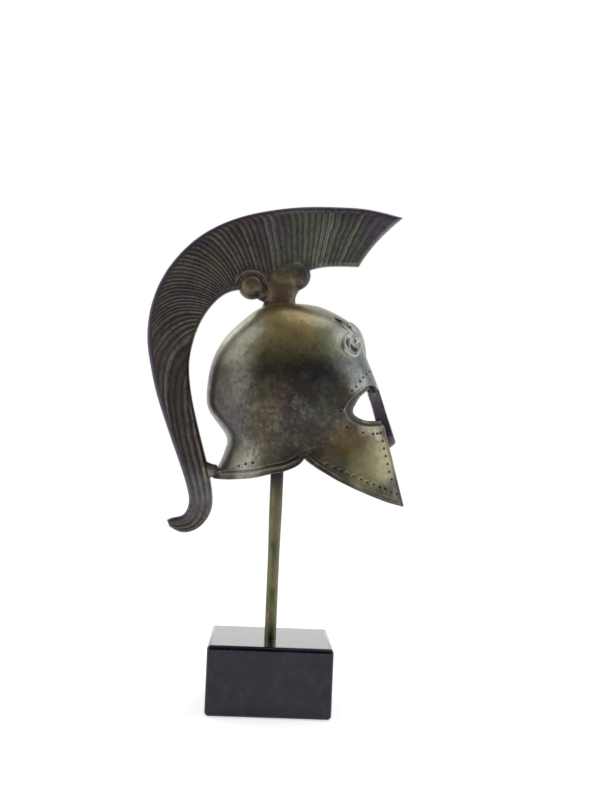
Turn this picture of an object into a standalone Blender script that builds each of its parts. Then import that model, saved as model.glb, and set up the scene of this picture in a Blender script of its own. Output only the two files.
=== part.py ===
"""A small cast bronze helmet of the Corinthian kind on its display stand.

Metres, +Z up. The origin is the centre of the block's underside, +X is the way the
helmet faces, and the plane y = 0 is its plane of symmetry. Four pieces: the block,
the rod that stands in it, the hollow helmet and the crest that sits on its crown.
"""

import math

import bmesh
import bpy
from mathutils import Vector

# ---- stand ----
BLOCK_SIDE = 0.054
BLOCK_HEIGHT = 0.030
BLOCK_CHAMFER = 0.0012
SOCKET_OVERCUT = 0.003
# The rod swells a little below the helmet.
ROD = (
    # height, diameter
    (0.0120, 0.0052),
    (0.0640, 0.0052),
    (0.0900, 0.0058),
    (0.1890, 0.0058),
)
ROD_SIDES = 24
FIT_GAP = 0.0003

# ---- helmet ----
WALL = 0.003
WIDEST_X = 0.002
SHELL_SIDES = 48
# One row for each level section of the outside, crown to hem.
SECTIONS = (
    # height, back, front, half width, front roundness
    (0.1790, 0.0000, 0.0045, 0.0000, 2.00),
    (0.1783, -0.0060, 0.0145, 0.0074, 2.00),
    (0.1754, -0.0122, 0.0227, 0.0145, 2.00),
    (0.1704, -0.0182, 0.0312, 0.0199, 2.00),
    (0.1637, -0.0247, 0.0353, 0.0240, 2.00),
    (0.1560, -0.0294, 0.0380, 0.0266, 2.00),
    (0.1480, -0.0319, 0.0415, 0.0280, 2.00),
    (0.1400, -0.0328, 0.0448, 0.0282, 1.95),
    (0.1320, -0.0324, 0.0477, 0.0278, 1.90),
    (0.1255, -0.0287, 0.0502, 0.0270, 1.85),
    (0.1185, -0.0234, 0.0528, 0.0263, 1.80),
    (0.1130, -0.0235, 0.0546, 0.0261, 1.80),
    (0.1065, -0.0258, 0.0564, 0.0263, 1.80),
    (0.1000, -0.0286, 0.0582, 0.0266, 1.80),
    (0.0880, -0.0302, 0.0616, 0.0269, 1.80),
)
# Above this row the skin has a ring of faces between the rows too.
FINE_ROWS = 4
# The hem seen from the side: neck guard, notch under the ear, cheek guard.
HEM = (
    (-0.0450, 0.0995),
    (-0.0286, 0.0995),
    (-0.0210, 0.0998),
    (-0.0140, 0.1006),
    (-0.0085, 0.1016),
    (-0.0034, 0.1031),
    (0.0020, 0.1047),
    (0.0054, 0.1060),
    (0.0080, 0.1074),
    (0.0098, 0.1092),
    (0.0108, 0.1107),
    (0.0148, 0.1079),
    (0.0190, 0.1054),
    (0.0243, 0.1024),
    (0.0297, 0.0997),
    (0.0368, 0.0966),
    (0.0442, 0.0939),
    (0.0500, 0.0920),
    (0.0570, 0.0903),
    (0.0700, 0.0866),
)
CUT_BELOW = 0.060
CUT_HALF = 0.045
# Eye opening seen from the side: its edge at the inner wall and, wider, at the outer.
EYE = (
    # inner x, inner z, outer x, outer z
    (0.0460, 0.1430, 0.0460, 0.1447),
    (0.0390, 0.1417, 0.0393, 0.1436),
    (0.0360, 0.1393, 0.0350, 0.1411),
    (0.0335, 0.1362, 0.0312, 0.1379),
    (0.0320, 0.1334, 0.0288, 0.1352),
    (0.0316, 0.1316, 0.0270, 0.1319),
    (0.0325, 0.1300, 0.0287, 0.1294),
    (0.0354, 0.1285, 0.0318, 0.1266),
    (0.0386, 0.1278, 0.0376, 0.1250),
    (0.0420, 0.1279, 0.0425, 0.1252),
    (0.0500, 0.1286, 0.0500, 0.1256),
)
# The eye's cutter: how far past the surface it widens, where its ends are and how near
# the midline its walls may come.
EYE_OVERSHOOT = 0.6
EYE_OUTSIDE = 0.034
EYE_MIDLINE = 0.001
EYE_LEAST_OUTER = 0.0045
EYE_LEAST_INNER = 0.0028
SLIT_X = 0.052
SLIT_REACH = 0.030
SLIT_TOP = 0.137
SLIT_HALF_TOP = 0.0093
SLIT_HALF_HEM = 0.0085
NASAL_DEPTH = 0.0052
NASAL_RAKE = 0.0017
NASAL_POINTS = 5
NASAL_BACK = 0.8
NASAL = (
    # height, half width, sunk
    (0.1490, 0.0034, 0.0012),
    (0.1420, 0.0036, 0.0008),
    (0.1375, 0.0033, 0.0002),
    (0.1330, 0.0033, 0.0000),
    (0.1270, 0.0037, 0.0000),
    (0.1215, 0.0042, 0.0000),
    (0.1193, 0.0034, 0.0002),
    (0.1178, 0.0012, 0.0010),
)

# ---- ornament on the brow ----
RELIEF = 0.0013
RELIEF_FOOT = 0.0010
# Section of a raised strip, as shares of its half width and of its height over the wall.
STRIP_SECTION = (
    # across, up
    (-0.8, 0.33),
    (0.0, 1.00),
    (0.8, 0.33),
)
# The scroll on each side of the brow, as distances from the plane y = 0 and heights:
# its ring, and the tongue that rolls into it from the middle.
RING = (
    (0.0092, 0.1656),
    (0.0121, 0.1656),
    (0.0147, 0.1648),
    (0.0168, 0.1625),
    (0.0183, 0.1597),
    (0.0182, 0.1571),
    (0.0157, 0.1557),
    (0.0127, 0.1573),
    (0.0096, 0.1598),
    (0.0083, 0.1621),
)
RING_HALF = 0.0009
RING_STEPS = 18
TONGUE = (
    (0.0104, 0.1642),
    (0.0122, 0.1629),
    (0.0142, 0.1611),
    (0.0149, 0.1597),
)
TONGUE_HALF = 0.0012
TONGUE_STEPS = 5
# Palmette leaves from foot to tip, the middle one and one on each side of it.
LEAVES = (
    # foot y, foot z, tip y, tip z, half width
    (0.0000, 0.1590, 0.0000, 0.1722, 0.0036),
    (0.0062, 0.1660, 0.0112, 0.1726, 0.0014),
    (-0.0062, 0.1660, -0.0112, 0.1726, 0.0014),
)
LEAF_STEPS = 6
LEAF_CURL = 1.4
LEAF_SWELL = 0.8
LEAF_FOOT_SHARE = 0.25

# ---- crest ----
CREST_HALF = 0.0025
CREST_TAIL_HALF = 0.0021
RIDGE = 0.0006
EDGE_ROUND = 0.0007
FRONT_BOW = 0.0018
# Stations along the crest, front to tail tip: its lower edge and its upper edge.
STATIONS = (
    # inner x, inner z, outer x, outer z
    (0.0328, 0.1968, 0.0519, 0.2199),
    (0.0240, 0.1966, 0.0365, 0.2229),
    (0.0150, 0.1955, 0.0222, 0.2234),
    (0.0050, 0.1920, 0.0070, 0.2227),
    (-0.0060, 0.1880, -0.0090, 0.2202),
    (-0.0160, 0.1848, -0.0240, 0.2158),
    (-0.0240, 0.1831, -0.0380, 0.2082),
    (-0.0305, 0.1786, -0.0485, 0.1981),
    (-0.0360, 0.1708, -0.0555, 0.1870),
    (-0.0394, 0.1620, -0.0597, 0.1737),
    (-0.0411, 0.1530, -0.0605, 0.1605),
    (-0.0410, 0.1450, -0.0588, 0.1500),
    (-0.0395, 0.1355, -0.0560, 0.1385),
    (-0.0368, 0.1247, -0.0520, 0.1268),
    (-0.0335, 0.1133, -0.0476, 0.1154),
    (-0.0305, 0.1030, -0.0433, 0.1046),
    (-0.0287, 0.0942, -0.0399, 0.0948),
    (-0.0284, 0.0863, -0.0388, 0.0885),
    (-0.0315, 0.0795, -0.0402, 0.0838),
    (-0.0365, 0.0756, -0.0430, 0.0819),
    (-0.0420, 0.0749, -0.0459, 0.0812),
    (-0.0470, 0.0772, -0.0482, 0.0801),
)
LAST_STATION = len(STATIONS) - 1
# The crest thins between these two stations.
THIN_FROM = 9
THIN_TO = 18
# Lines along the locks of hair, ridge and furrow in turn: the station where one leaves
# the lower edge, the station where it has turned, how far out it is there, and how many
# lines lie between it and the row above. Those that turn at TAIL_TURN run on down the
# tail, the others end there on the upper edge.
TAIL_TURN = 15.4
LINES = (
    # root, turn, out, lines
    (0.00, 0.00, 1.00, 0),
    (2.00, 2.15, 1.00, 16),
    (4.00, 4.40, 1.00, 18),
    (5.50, 6.40, 1.00, 12),
    (6.50, 8.10, 1.00, 8),
    (7.20, 9.40, 1.00, 6),
    (7.80, 10.60, 1.00, 6),
    (8.30, 12.40, 1.00, 4),
    (8.80, TAIL_TURN, 1.00, 4),
    (9.90, TAIL_TURN, 0.74, 3),
    (10.60, TAIL_TURN, 0.50, 2),
    (11.30, TAIL_TURN, 0.26, 2),
    (12.00, TAIL_TURN, 0.00, 2),
)
LINE_STEPS = 9
TAIL_STEPS = 9
# How a line leans back and how fast it sweeps out, as powers of the way along it.
LINE_LEAN = 1.2
LINE_SWEEP = 1.5
STEM_X = -0.0020
STEM_SIDES = 24
# Level sections of the stem, foot first: its foot is shaped to the crown.
STEM = (
    # height, width, depth
    (0.1730, 0.0164, 0.0126),
    (0.1776, 0.0160, 0.0122),
    (0.1792, 0.0142, 0.0104),
    (0.1808, 0.0138, 0.0096),
    (0.1826, 0.0146, 0.0092),
    (0.1852, 0.0168, 0.0090),
    (0.1930, 0.0176, 0.0090),
)
# Scrolls of the crest holder: centre, radius and half their breadth across the crest.
SCROLLS = (
    # x, z, radius, half breadth
    (-0.0147, 0.1858, 0.0063, 0.0050),
    (0.0044, 0.1918, 0.0069, 0.0050),
)
SCROLL_SIDES = 20
# Rings of the boss at a scroll's end, as shares of its half breadth and of its radius.
BOSS = (
    # across, radius
    (1.00, 0.45),
    (0.93, 0.75),
    (0.70, 1.00),
)
LUG_Z = 0.1028
# Sections of the lug between the tail and the neck guard, from inside the tail.
LUG = (
    # x, half breadth, half height
    (-0.0325, 0.0018, 0.0036),
    (-0.0298, 0.0018, 0.0024),
    (-0.0260, 0.0018, 0.0024),
)
LUG_SIDES = 10


def clear_scene():
    for thing in list(bpy.context.scene.objects):
        bpy.data.objects.remove(thing, do_unlink=True)


def metal(name, colour, roughness, metallic):
    made = bpy.data.materials.new(name)
    made.use_nodes = True
    shader = made.node_tree.nodes["Principled BSDF"]
    shader.inputs["Base Color"].default_value = (*colour, 1.0)
    shader.inputs["Roughness"].default_value = roughness
    shader.inputs["Metallic"].default_value = metallic
    return made


def add_object(name, shape, material=None):
    """Make an object of a bmesh. One with no material is a helper and isn't rendered."""
    mesh = bpy.data.meshes.new(name)
    bmesh.ops.recalc_face_normals(shape, faces=shape.faces)
    shape.to_mesh(mesh)
    shape.free()
    made = bpy.data.objects.new(name, mesh)
    bpy.context.scene.collection.objects.link(made)
    if material:
        mesh.materials.append(material)
        mesh.shade_smooth()
        mesh.set_sharp_from_angle(angle=math.radians(35))
    else:
        made.hide_render = True
        made.display_type = "WIRE"
    return made


def combine(body, helpers, operation):
    """Cut the helpers from the body, or join them to it, all in one Boolean."""
    group = bpy.data.collections.new(f"{body.name}_{operation.lower()}_helpers")
    for helper in helpers:
        group.objects.link(helper)
    modifier = body.modifiers.new(group.name, "BOOLEAN")
    modifier.operation = operation
    modifier.solver = "EXACT"
    modifier.operand_type = "COLLECTION"
    modifier.collection = group


def loft(rings):
    """Closed body through rings of points, each ring with as many points as the next."""
    shape = bmesh.new()
    loops = [[shape.verts.new(point) for point in ring] for ring in rings]
    for low, high in zip(loops, loops[1:]):
        for k in range(len(low)):
            shape.faces.new((low[k - 1], low[k], high[k], high[k - 1]))
    shape.faces.new(loops[0])
    shape.faces.new(loops[-1])
    return shape


def prism(outline, half, axis):
    """Outline of (across, height) pairs carried from -half to half along y or x."""
    rings = []
    for side in (-half, half):
        if axis == "y":
            rings.append([(across, side, height) for across, height in outline])
        else:
            rings.append([(side, across, height) for across, height in outline])
    return loft(rings)


def ellipse(half_across, half_up, sides):
    """Points of an ellipse as (across, up) pairs."""
    turns = [2 * math.pi * k / sides for k in range(sides)]
    return [(half_across * math.cos(turn), half_up * math.sin(turn)) for turn in turns]


def column(sections, centre, sides):
    """Upright column through elliptical (height, width, depth) sections."""
    rings = []
    for height, width, depth in sections:
        points = ellipse(width / 2, depth / 2, sides)
        rings.append([(centre + x, y, height) for x, y in points])
    return loft(rings)


def rod_hole(diameter, low, high):
    """Round cutter that leaves the fit gap round this much of the rod."""
    width = diameter + 2 * FIT_GAP
    return column([(low, width, width), (high, width, width)], 0, ROD_SIDES)


def smooth_row(table, place):
    """Row at a fractional place in a table, on a Catmull-Rom curve through its rows."""
    last = len(table) - 1
    first = min(int(place), last - 1)
    t = place - first
    before, here, after, beyond = (
        table[min(max(first + step, 0), last)] for step in (-1, 0, 1, 2)
    )
    row = []
    for a, b, c, d in zip(before, here, after, beyond):
        bend = (2 * a - 5 * b + 4 * c - d) * t * t + (3 * b - a - 3 * c + d) * t**3
        row.append(b + (bend + (c - a) * t) / 2)
    return row


def place_at_height(height):
    """Place in SECTIONS of the section at this height."""
    low, high = 0.0, len(SECTIONS) - 1.0
    for _ in range(24):
        middle = (low + high) / 2
        if smooth_row(SECTIONS, middle)[0] > height:
            low = middle
        else:
            high = middle
    return low


def half_width_at(x, height):
    """How far the outside of the helmet is from the plane y = 0, forward of its widest."""
    _, _, front, half, roundness = smooth_row(SECTIONS, place_at_height(height))
    forward = min(max((x - WIDEST_X) / (front - WIDEST_X), 0.0), 1.0)
    return half * (1 - forward**roundness) ** (1 / roundness)


def front_at(y, height):
    """X of the outside of the helmet's face at a distance from the plane y = 0."""
    _, _, front, half, roundness = smooth_row(SECTIONS, place_at_height(height))
    across = min(abs(y) / half, 1.0)
    return WIDEST_X + (front - WIDEST_X) * (1 - across**roundness) ** (1 / roundness)


def section_ring(place):
    height, back, front, half, roundness = smooth_row(SECTIONS, place)
    ring = []
    for k in range(SHELL_SIDES):
        turn = 2 * math.pi * k / SHELL_SIDES
        c, s = math.cos(turn), math.sin(turn)
        power = 2 / roundness if c > 0 else 1.0
        reach = front - WIDEST_X if c > 0 else WIDEST_X - back
        x = WIDEST_X + math.copysign(reach * abs(c) ** power, c)
        ring.append((x, math.copysign(half * abs(s) ** power, s), height))
    return ring


def shell_skin(rows):
    """Outside of the helmet from the crown down to a row of SECTIONS, open below."""
    shape = bmesh.new()
    crown = shape.verts.new((WIDEST_X, 0, SECTIONS[0][0]))
    places = [k / 2 for k in range(1, 2 * FINE_ROWS)] + list(range(FINE_ROWS, rows))
    loops = [[shape.verts.new(point) for point in section_ring(place)] for place in places]
    for k in range(SHELL_SIDES):
        shape.faces.new((crown, loops[0][k - 1], loops[0][k]))
    for high, low in zip(loops, loops[1:]):
        for k in range(SHELL_SIDES):
            shape.faces.new((high[k], high[k - 1], low[k - 1], low[k]))
    return shape


def hem_cutter():
    """Everything under the hem."""
    outline = list(HEM) + [(HEM[-1][0], CUT_BELOW), (HEM[0][0], CUT_BELOW)]
    return prism(outline, CUT_HALF, "y")


def eye_cutter(side):
    """Opening of one eye, wider outside than inside, as a funnel."""
    rings = [[], [], [], []]
    for inner_x, inner_z, outer_x, outer_z in EYE:
        surface = max(half_width_at(outer_x, outer_z), EYE_LEAST_OUTER)
        inside = max(half_width_at(inner_x, inner_z) - WALL, EYE_LEAST_INNER)
        wide_x = outer_x + EYE_OVERSHOOT * (outer_x - inner_x)
        wide_z = outer_z + EYE_OVERSHOOT * (outer_z - inner_z)
        wide_y = surface + EYE_OVERSHOOT * (surface - inside)
        rings[0].append((wide_x, side * EYE_OUTSIDE, wide_z))
        rings[1].append((wide_x, side * wide_y, wide_z))
        rings[2].append((inner_x, side * inside, inner_z))
        rings[3].append((inner_x, side * EYE_MIDLINE, inner_z))
    return loft(rings)


def slit_cutter():
    """Gap between the cheek guards."""
    outline = [
        (SLIT_HALF_TOP, SLIT_TOP),
        (-SLIT_HALF_TOP, SLIT_TOP),
        (-SLIT_HALF_HEM, HEM[-2][1]),
        (-SLIT_HALF_HEM, CUT_BELOW),
        (SLIT_HALF_HEM, CUT_BELOW),
        (SLIT_HALF_HEM, HEM[-2][1]),
    ]
    shape = prism(outline, SLIT_REACH, "x")
    bmesh.ops.translate(shape, verts=shape.verts, vec=(SLIT_X, 0, 0))
    return shape


def nasal_bar():
    """Nose guard, its front in line with the shell, thicker than the wall behind."""
    rings = []
    for height, half, sunk in NASAL:
        ring = []
        for k in range(NASAL_POINTS):
            y = half * (2 * k / (NASAL_POINTS - 1) - 1)
            ring.append((front_at(y, height) - sunk, y, height))
        depth = NASAL_DEPTH - 2 * sunk
        back = front_at(0, height) - sunk - depth
        for y in (half * NASAL_BACK, -half * NASAL_BACK):
            ring.append((back, y, height - NASAL_RAKE))
        rings.append(ring)
    return loft(rings)


def on_brow(y, height, lift):
    """Point over the brow's surface, lifted along its normal."""
    step = 0.0004
    here = Vector((front_at(y, height), y, height))
    along = Vector((front_at(y + step, height), y + step, height)) - here
    up = Vector((front_at(y, height + step), y, height + step)) - here
    normal = along.cross(up).normalized()
    return here + normal * lift


def raised_strip(path, widths):
    """Rounded strip along a path of (y, height) on the brow, its foot in the wall."""
    section = [(across, up * RELIEF) for across, up in STRIP_SECTION]
    section = [(-1.0, -RELIEF_FOOT)] + section + [(1.0, -RELIEF_FOOT)]
    rings = []
    last = len(path) - 1
    for k, (y, height) in enumerate(path):
        y0, z0 = path[max(k - 1, 0)]
        y1, z1 = path[min(k + 1, last)]
        run = math.hypot(y1 - y0, z1 - z0)
        side_y, side_z = -(z1 - z0) / run, (y1 - y0) / run
        ring = []
        for across, lift in section:
            reach = across * widths[k]
            ring.append(on_brow(y + side_y * reach, height + side_z * reach, lift))
        rings.append(ring)
    return loft(rings)


def scroll_strip(side, table, half, steps):
    """Raised strip on one side of the brow along a table of (distance, height)."""
    path = []
    for k in range(steps + 1):
        across, height = smooth_row(table, (len(table) - 1) * k / steps)
        path.append((side * across, height))
    return raised_strip(path, [half] * len(path))


def leaf(foot_y, foot_z, tip_y, tip_z, half_width):
    path = []
    widths = []
    for k in range(LEAF_STEPS + 1):
        t = k / LEAF_STEPS
        path.append((foot_y + (tip_y - foot_y) * t**LEAF_CURL, foot_z + (tip_z - foot_z) * t))
        swell = math.sin(math.pi * t**LEAF_SWELL)
        widths.append(half_width * (LEAF_FOOT_SHARE + (1 - LEAF_FOOT_SHARE) * swell))
    return raised_strip(path, widths)


def crest_point(station, out, lift):
    """Point of the crest's face: station along it, out from lower edge 0 to upper 1."""
    inner_x, inner_z, outer_x, outer_z = smooth_row(STATIONS, station)
    bow = FRONT_BOW * math.exp(-station) * 4 * out * (1 - out)
    x = inner_x + (outer_x - inner_x) * out - bow
    return Vector((x, lift, inner_z + (outer_z - inner_z) * out))


def crest_half(station):
    """Half the crest's thickness, thinner down the tail."""
    tail = min(max((station - THIN_FROM) / (THIN_TO - THIN_FROM), 0.0), 1.0)
    return CREST_HALF + (CREST_TAIL_HALF - CREST_HALF) * tail


def lock_lines():
    """(root, turn, out) of every line along the locks, from the front edge on."""
    lines = [LINES[0][:3]]
    for (*before, _), (*after, count) in zip(LINES, LINES[1:]):
        for k in range(1, count + 1):
            t = k / count
            lines.append([a * (1 - t) + b * t for a, b in zip(before, after)])
    return lines


def line_places(root, turn, full_out):
    """(station, out) along a line: across the crest, then down the tail if it gets there."""
    places = []
    for k in range(LINE_STEPS + 1):
        t = k / LINE_STEPS
        station = root + (turn - root) * t**LINE_LEAN
        places.append((station, full_out * (1 - (1 - t) ** LINE_SWEEP)))
    if math.isclose(turn, TAIL_TURN):
        for k in range(1, TAIL_STEPS + 1):
            places.append((turn + (LAST_STATION - turn) * k / TAIL_STEPS, full_out))
    return places


def crest_plate():
    """Crest with its locks of hair raised on both faces."""
    shape = bmesh.new()
    for side in (-1, 1):
        grid = []
        for number, line in enumerate(lock_lines()):
            row = []
            for station, out in line_places(*line):
                on_edge = out in (0.0, 1.0) or number == 0 or station == LAST_STATION
                rise = -EDGE_ROUND if on_edge else RIDGE * (number % 2)
                lift = side * (crest_half(station) + rise)
                row.append(shape.verts.new(crest_point(station, out, lift)))
            grid.append(row)
        for a, b in zip(grid, grid[1:]):
            for k in range(min(len(a), len(b)) - 1):
                shape.faces.new((a[k], a[k + 1], b[k + 1], b[k]))
    bmesh.ops.remove_doubles(shape, verts=shape.verts, dist=1e-6)
    rim = [edge for edge in shape.edges if edge.is_boundary]
    bmesh.ops.bridge_loops(shape, edges=rim)
    return shape


def scroll(x, z, radius, half_breadth):
    """Roll across the crest with a domed boss at each end."""
    steps = [(-across, size) for across, size in BOSS] + list(reversed(BOSS))
    rings = []
    for across, size in steps:
        points = ellipse(radius * size, radius * size, SCROLL_SIDES)
        rings.append([(x + dx, across * half_breadth, z + dz) for dx, dz in points])
    return loft(rings)


def lug():
    rings = []
    for x, half_breadth, half_height in LUG:
        points = ellipse(half_breadth, half_height, LUG_SIDES)
        rings.append([(x, dy, LUG_Z + dz) for dy, dz in points])
    return loft(rings)


def helmet_clearance():
    """Outside of the helmet swollen by the fit gap, closed below."""
    shape = shell_skin(len(SECTIONS) - 1)
    bmesh.ops.recalc_face_normals(shape, faces=shape.faces)
    shape.normal_update()
    for vert in shape.verts:
        vert.co += vert.normal * FIT_GAP
    bmesh.ops.contextual_create(shape, geom=[edge for edge in shape.edges if edge.is_boundary])
    return shape


def build_block():
    marble = metal("black_marble", (0.02, 0.021, 0.026), 0.18, 0.0)
    half = BLOCK_SIDE / 2
    outline = [(-half, 0), (half, 0), (half, BLOCK_HEIGHT), (-half, BLOCK_HEIGHT)]
    block = add_object("base", prism(outline, half, "y"), marble)
    edges = block.modifiers.new("eased_edges", "BEVEL")
    edges.width = BLOCK_CHAMFER
    edges.segments = 1
    foot, diameter = ROD[0]
    socket = rod_hole(diameter, foot - FIT_GAP, BLOCK_HEIGHT + SOCKET_OVERCUT)
    combine(block, [add_object("block_socket", socket)], "DIFFERENCE")


def build_rod():
    bronze = metal("rod_bronze", (0.16, 0.14, 0.045), 0.35, 0.9)
    sections = [(height, diameter, diameter) for height, diameter in ROD]
    add_object("rod", column(sections, 0, ROD_SIDES), bronze)


def build_helmet():
    bronze = metal("helmet_bronze", (0.17, 0.15, 0.075), 0.34, 0.9)
    helmet = add_object("helmet", shell_skin(len(SECTIONS)), bronze)
    wall = helmet.modifiers.new("wall", "SOLIDIFY")
    wall.thickness = WALL
    wall.offset = -1
    wall.use_even_offset = True
    hole = rod_hole(ROD[-1][1], SECTIONS[3][0] - WALL, SECTIONS[0][0] + WALL)
    openings = [
        add_object("eye_near", eye_cutter(-1)),
        add_object("eye_far", eye_cutter(1)),
        add_object("below_hem", hem_cutter()),
        add_object("slit", slit_cutter()),
        add_object("crown_hole", hole),
    ]
    combine(helmet, openings, "DIFFERENCE")
    raised = [
        add_object("nasal", nasal_bar()),
        add_object("ring_near", scroll_strip(-1, RING, RING_HALF, RING_STEPS)),
        add_object("ring_far", scroll_strip(1, RING, RING_HALF, RING_STEPS)),
        add_object("tongue_near", scroll_strip(-1, TONGUE, TONGUE_HALF, TONGUE_STEPS)),
        add_object("tongue_far", scroll_strip(1, TONGUE, TONGUE_HALF, TONGUE_STEPS)),
    ]
    for k, row in enumerate(LEAVES):
        raised.append(add_object(f"leaf_{k + 1}", leaf(*row)))
    combine(helmet, raised, "UNION")


def build_crest():
    bronze = metal("crest_bronze", (0.085, 0.075, 0.05), 0.42, 0.9)
    crest = add_object("crest", crest_plate(), bronze)
    holder = [
        add_object("stem", column(STEM, STEM_X, STEM_SIDES)),
        add_object("lug", lug()),
    ]
    for k, row in enumerate(SCROLLS):
        holder.append(add_object(f"scroll_{k + 1}", scroll(*row)))
    combine(crest, holder, "UNION")
    removed = [
        add_object("stem_socket", rod_hole(ROD[-1][1], SECTIONS[3][0], ROD[-1][0] + FIT_GAP)),
        add_object("helmet_clearance", helmet_clearance()),
    ]
    combine(crest, removed, "DIFFERENCE")


def build():
    clear_scene()
    build_block()
    build_rod()
    build_helmet()
    build_crest()


build()
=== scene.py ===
"""Small cast bronze helmet with a tall combed crest, on a rod in a black stone block.

Metres, +Z up, +X the way the helmet faces. The plane y = 0 is the helmet's plane of
symmetry, and the origin is the centre of the block's underside.
"""

import math

import bpy
import numpy as np
from mathutils import Matrix, Vector, kdtree
from mathutils.geometry import delaunay_2d_cdt


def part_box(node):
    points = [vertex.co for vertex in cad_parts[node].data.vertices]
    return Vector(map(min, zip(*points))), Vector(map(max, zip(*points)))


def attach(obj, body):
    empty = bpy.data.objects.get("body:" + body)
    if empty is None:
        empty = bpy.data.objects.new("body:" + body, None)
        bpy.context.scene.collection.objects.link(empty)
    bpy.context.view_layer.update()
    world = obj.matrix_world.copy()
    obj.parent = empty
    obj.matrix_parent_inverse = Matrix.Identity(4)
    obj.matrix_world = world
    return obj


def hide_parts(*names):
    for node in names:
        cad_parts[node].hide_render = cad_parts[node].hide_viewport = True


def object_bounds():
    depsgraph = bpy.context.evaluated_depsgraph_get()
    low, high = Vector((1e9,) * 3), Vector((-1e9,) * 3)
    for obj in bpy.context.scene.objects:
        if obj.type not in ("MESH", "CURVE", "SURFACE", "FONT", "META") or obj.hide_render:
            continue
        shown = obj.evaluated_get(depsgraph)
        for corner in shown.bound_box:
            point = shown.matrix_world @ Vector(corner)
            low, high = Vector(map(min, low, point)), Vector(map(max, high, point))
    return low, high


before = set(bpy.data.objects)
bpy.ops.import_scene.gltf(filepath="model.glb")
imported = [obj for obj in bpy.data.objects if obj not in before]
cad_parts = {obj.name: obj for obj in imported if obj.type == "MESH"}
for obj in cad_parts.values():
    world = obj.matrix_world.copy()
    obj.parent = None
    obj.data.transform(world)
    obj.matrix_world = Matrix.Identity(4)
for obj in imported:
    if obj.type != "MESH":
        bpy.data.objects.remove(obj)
cad_low, cad_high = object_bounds()


# ---------------------------------------------------------------------------------
# Block. A square of black stone, sawn, ground and polished, with its edges just
# eased. A hole is drilled in the middle of its top, and the rod is glued in it.

EASED_EDGE = 0.0018
EASED_STEPS = 6
GROUND_FACE = 5e-5
ROD_FOOT_RADIUS = 0.0026
SOCKET_CLEARANCE = 0.00012
SOCKET_OVERCUT = 0.002
ROUND_SIDES = 48
STONE_ROUGHNESS = (0.09, 0.21)
STONE_IOR = 1.28
# Patches of colour are given in mm, and keep their full share over this part of their reach.
MM = 0.001
PATCH_CORE = 0.3


def new_object(name, data):
    made = bpy.data.objects.new(name, data)
    bpy.context.scene.collection.objects.link(made)
    return made


def mesh_object(name, points, faces=(), edges=(), **attributes):
    """Object of a new mesh, with float or vector attributes at its points."""
    mesh = bpy.data.meshes.new(name)
    mesh.from_pydata(points, edges, faces)
    for label, values in attributes.items():
        values = np.asarray(values, float)
        kind, field = ("FLOAT_VECTOR", "vector") if values.ndim == 2 else ("FLOAT", "value")
        mesh.attributes.new(label, kind, "POINT").data.foreach_set(field, values.ravel())
    return new_object(name, mesh)


def evaluated_mesh(obj):
    """Mesh of what obj looks like with its modifiers; obj itself goes."""
    mesh = bpy.data.meshes.new_from_object(obj.evaluated_get(bpy.context.evaluated_depsgraph_get()))
    bpy.data.objects.remove(obj, do_unlink=True)
    return mesh


def finished(obj, name, material, smooth_angle=None):
    """Plain mesh object in place of obj and its modifiers, shaded smooth below an angle."""
    mesh = evaluated_mesh(obj)
    mesh.name = name
    mesh.materials.clear()
    mesh.materials.append(material)
    mesh.shade_smooth()
    if smooth_angle:
        mesh.set_sharp_from_angle(angle=math.radians(smooth_angle))
    return new_object(name, mesh)


def modified(obj, kind, **settings):
    modifier = obj.modifiers.new(kind.lower(), kind)
    for name, value in settings.items():
        setattr(modifier, name, value)


def circle(sides):
    turns = [2 * math.pi * k / sides for k in range(sides)]
    return [(math.cos(turn), math.sin(turn)) for turn in turns]


def tube(rings):
    """Points and faces of a closed tube through rings of points."""
    sides = len(rings[0])
    ends = sides * (len(rings) - 1)
    faces = [tuple(range(sides))[::-1], tuple(range(ends, ends + sides))]
    for ring_start in range(0, ends, sides):
        for j in range(sides):
            a, b = ring_start + j, ring_start + (j + 1) % sides
            faces.append((a, b, b + sides, a + sides))
    return [point for ring in rings for point in ring], faces


def round_bar(name, sections):
    """Upright bar through round (height, radius) sections."""
    ring = circle(ROUND_SIDES)
    rings = [[(radius * c, radius * s, height) for c, s in ring] for height, radius in sections]
    return mesh_object(name, *tube(rings))


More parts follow.
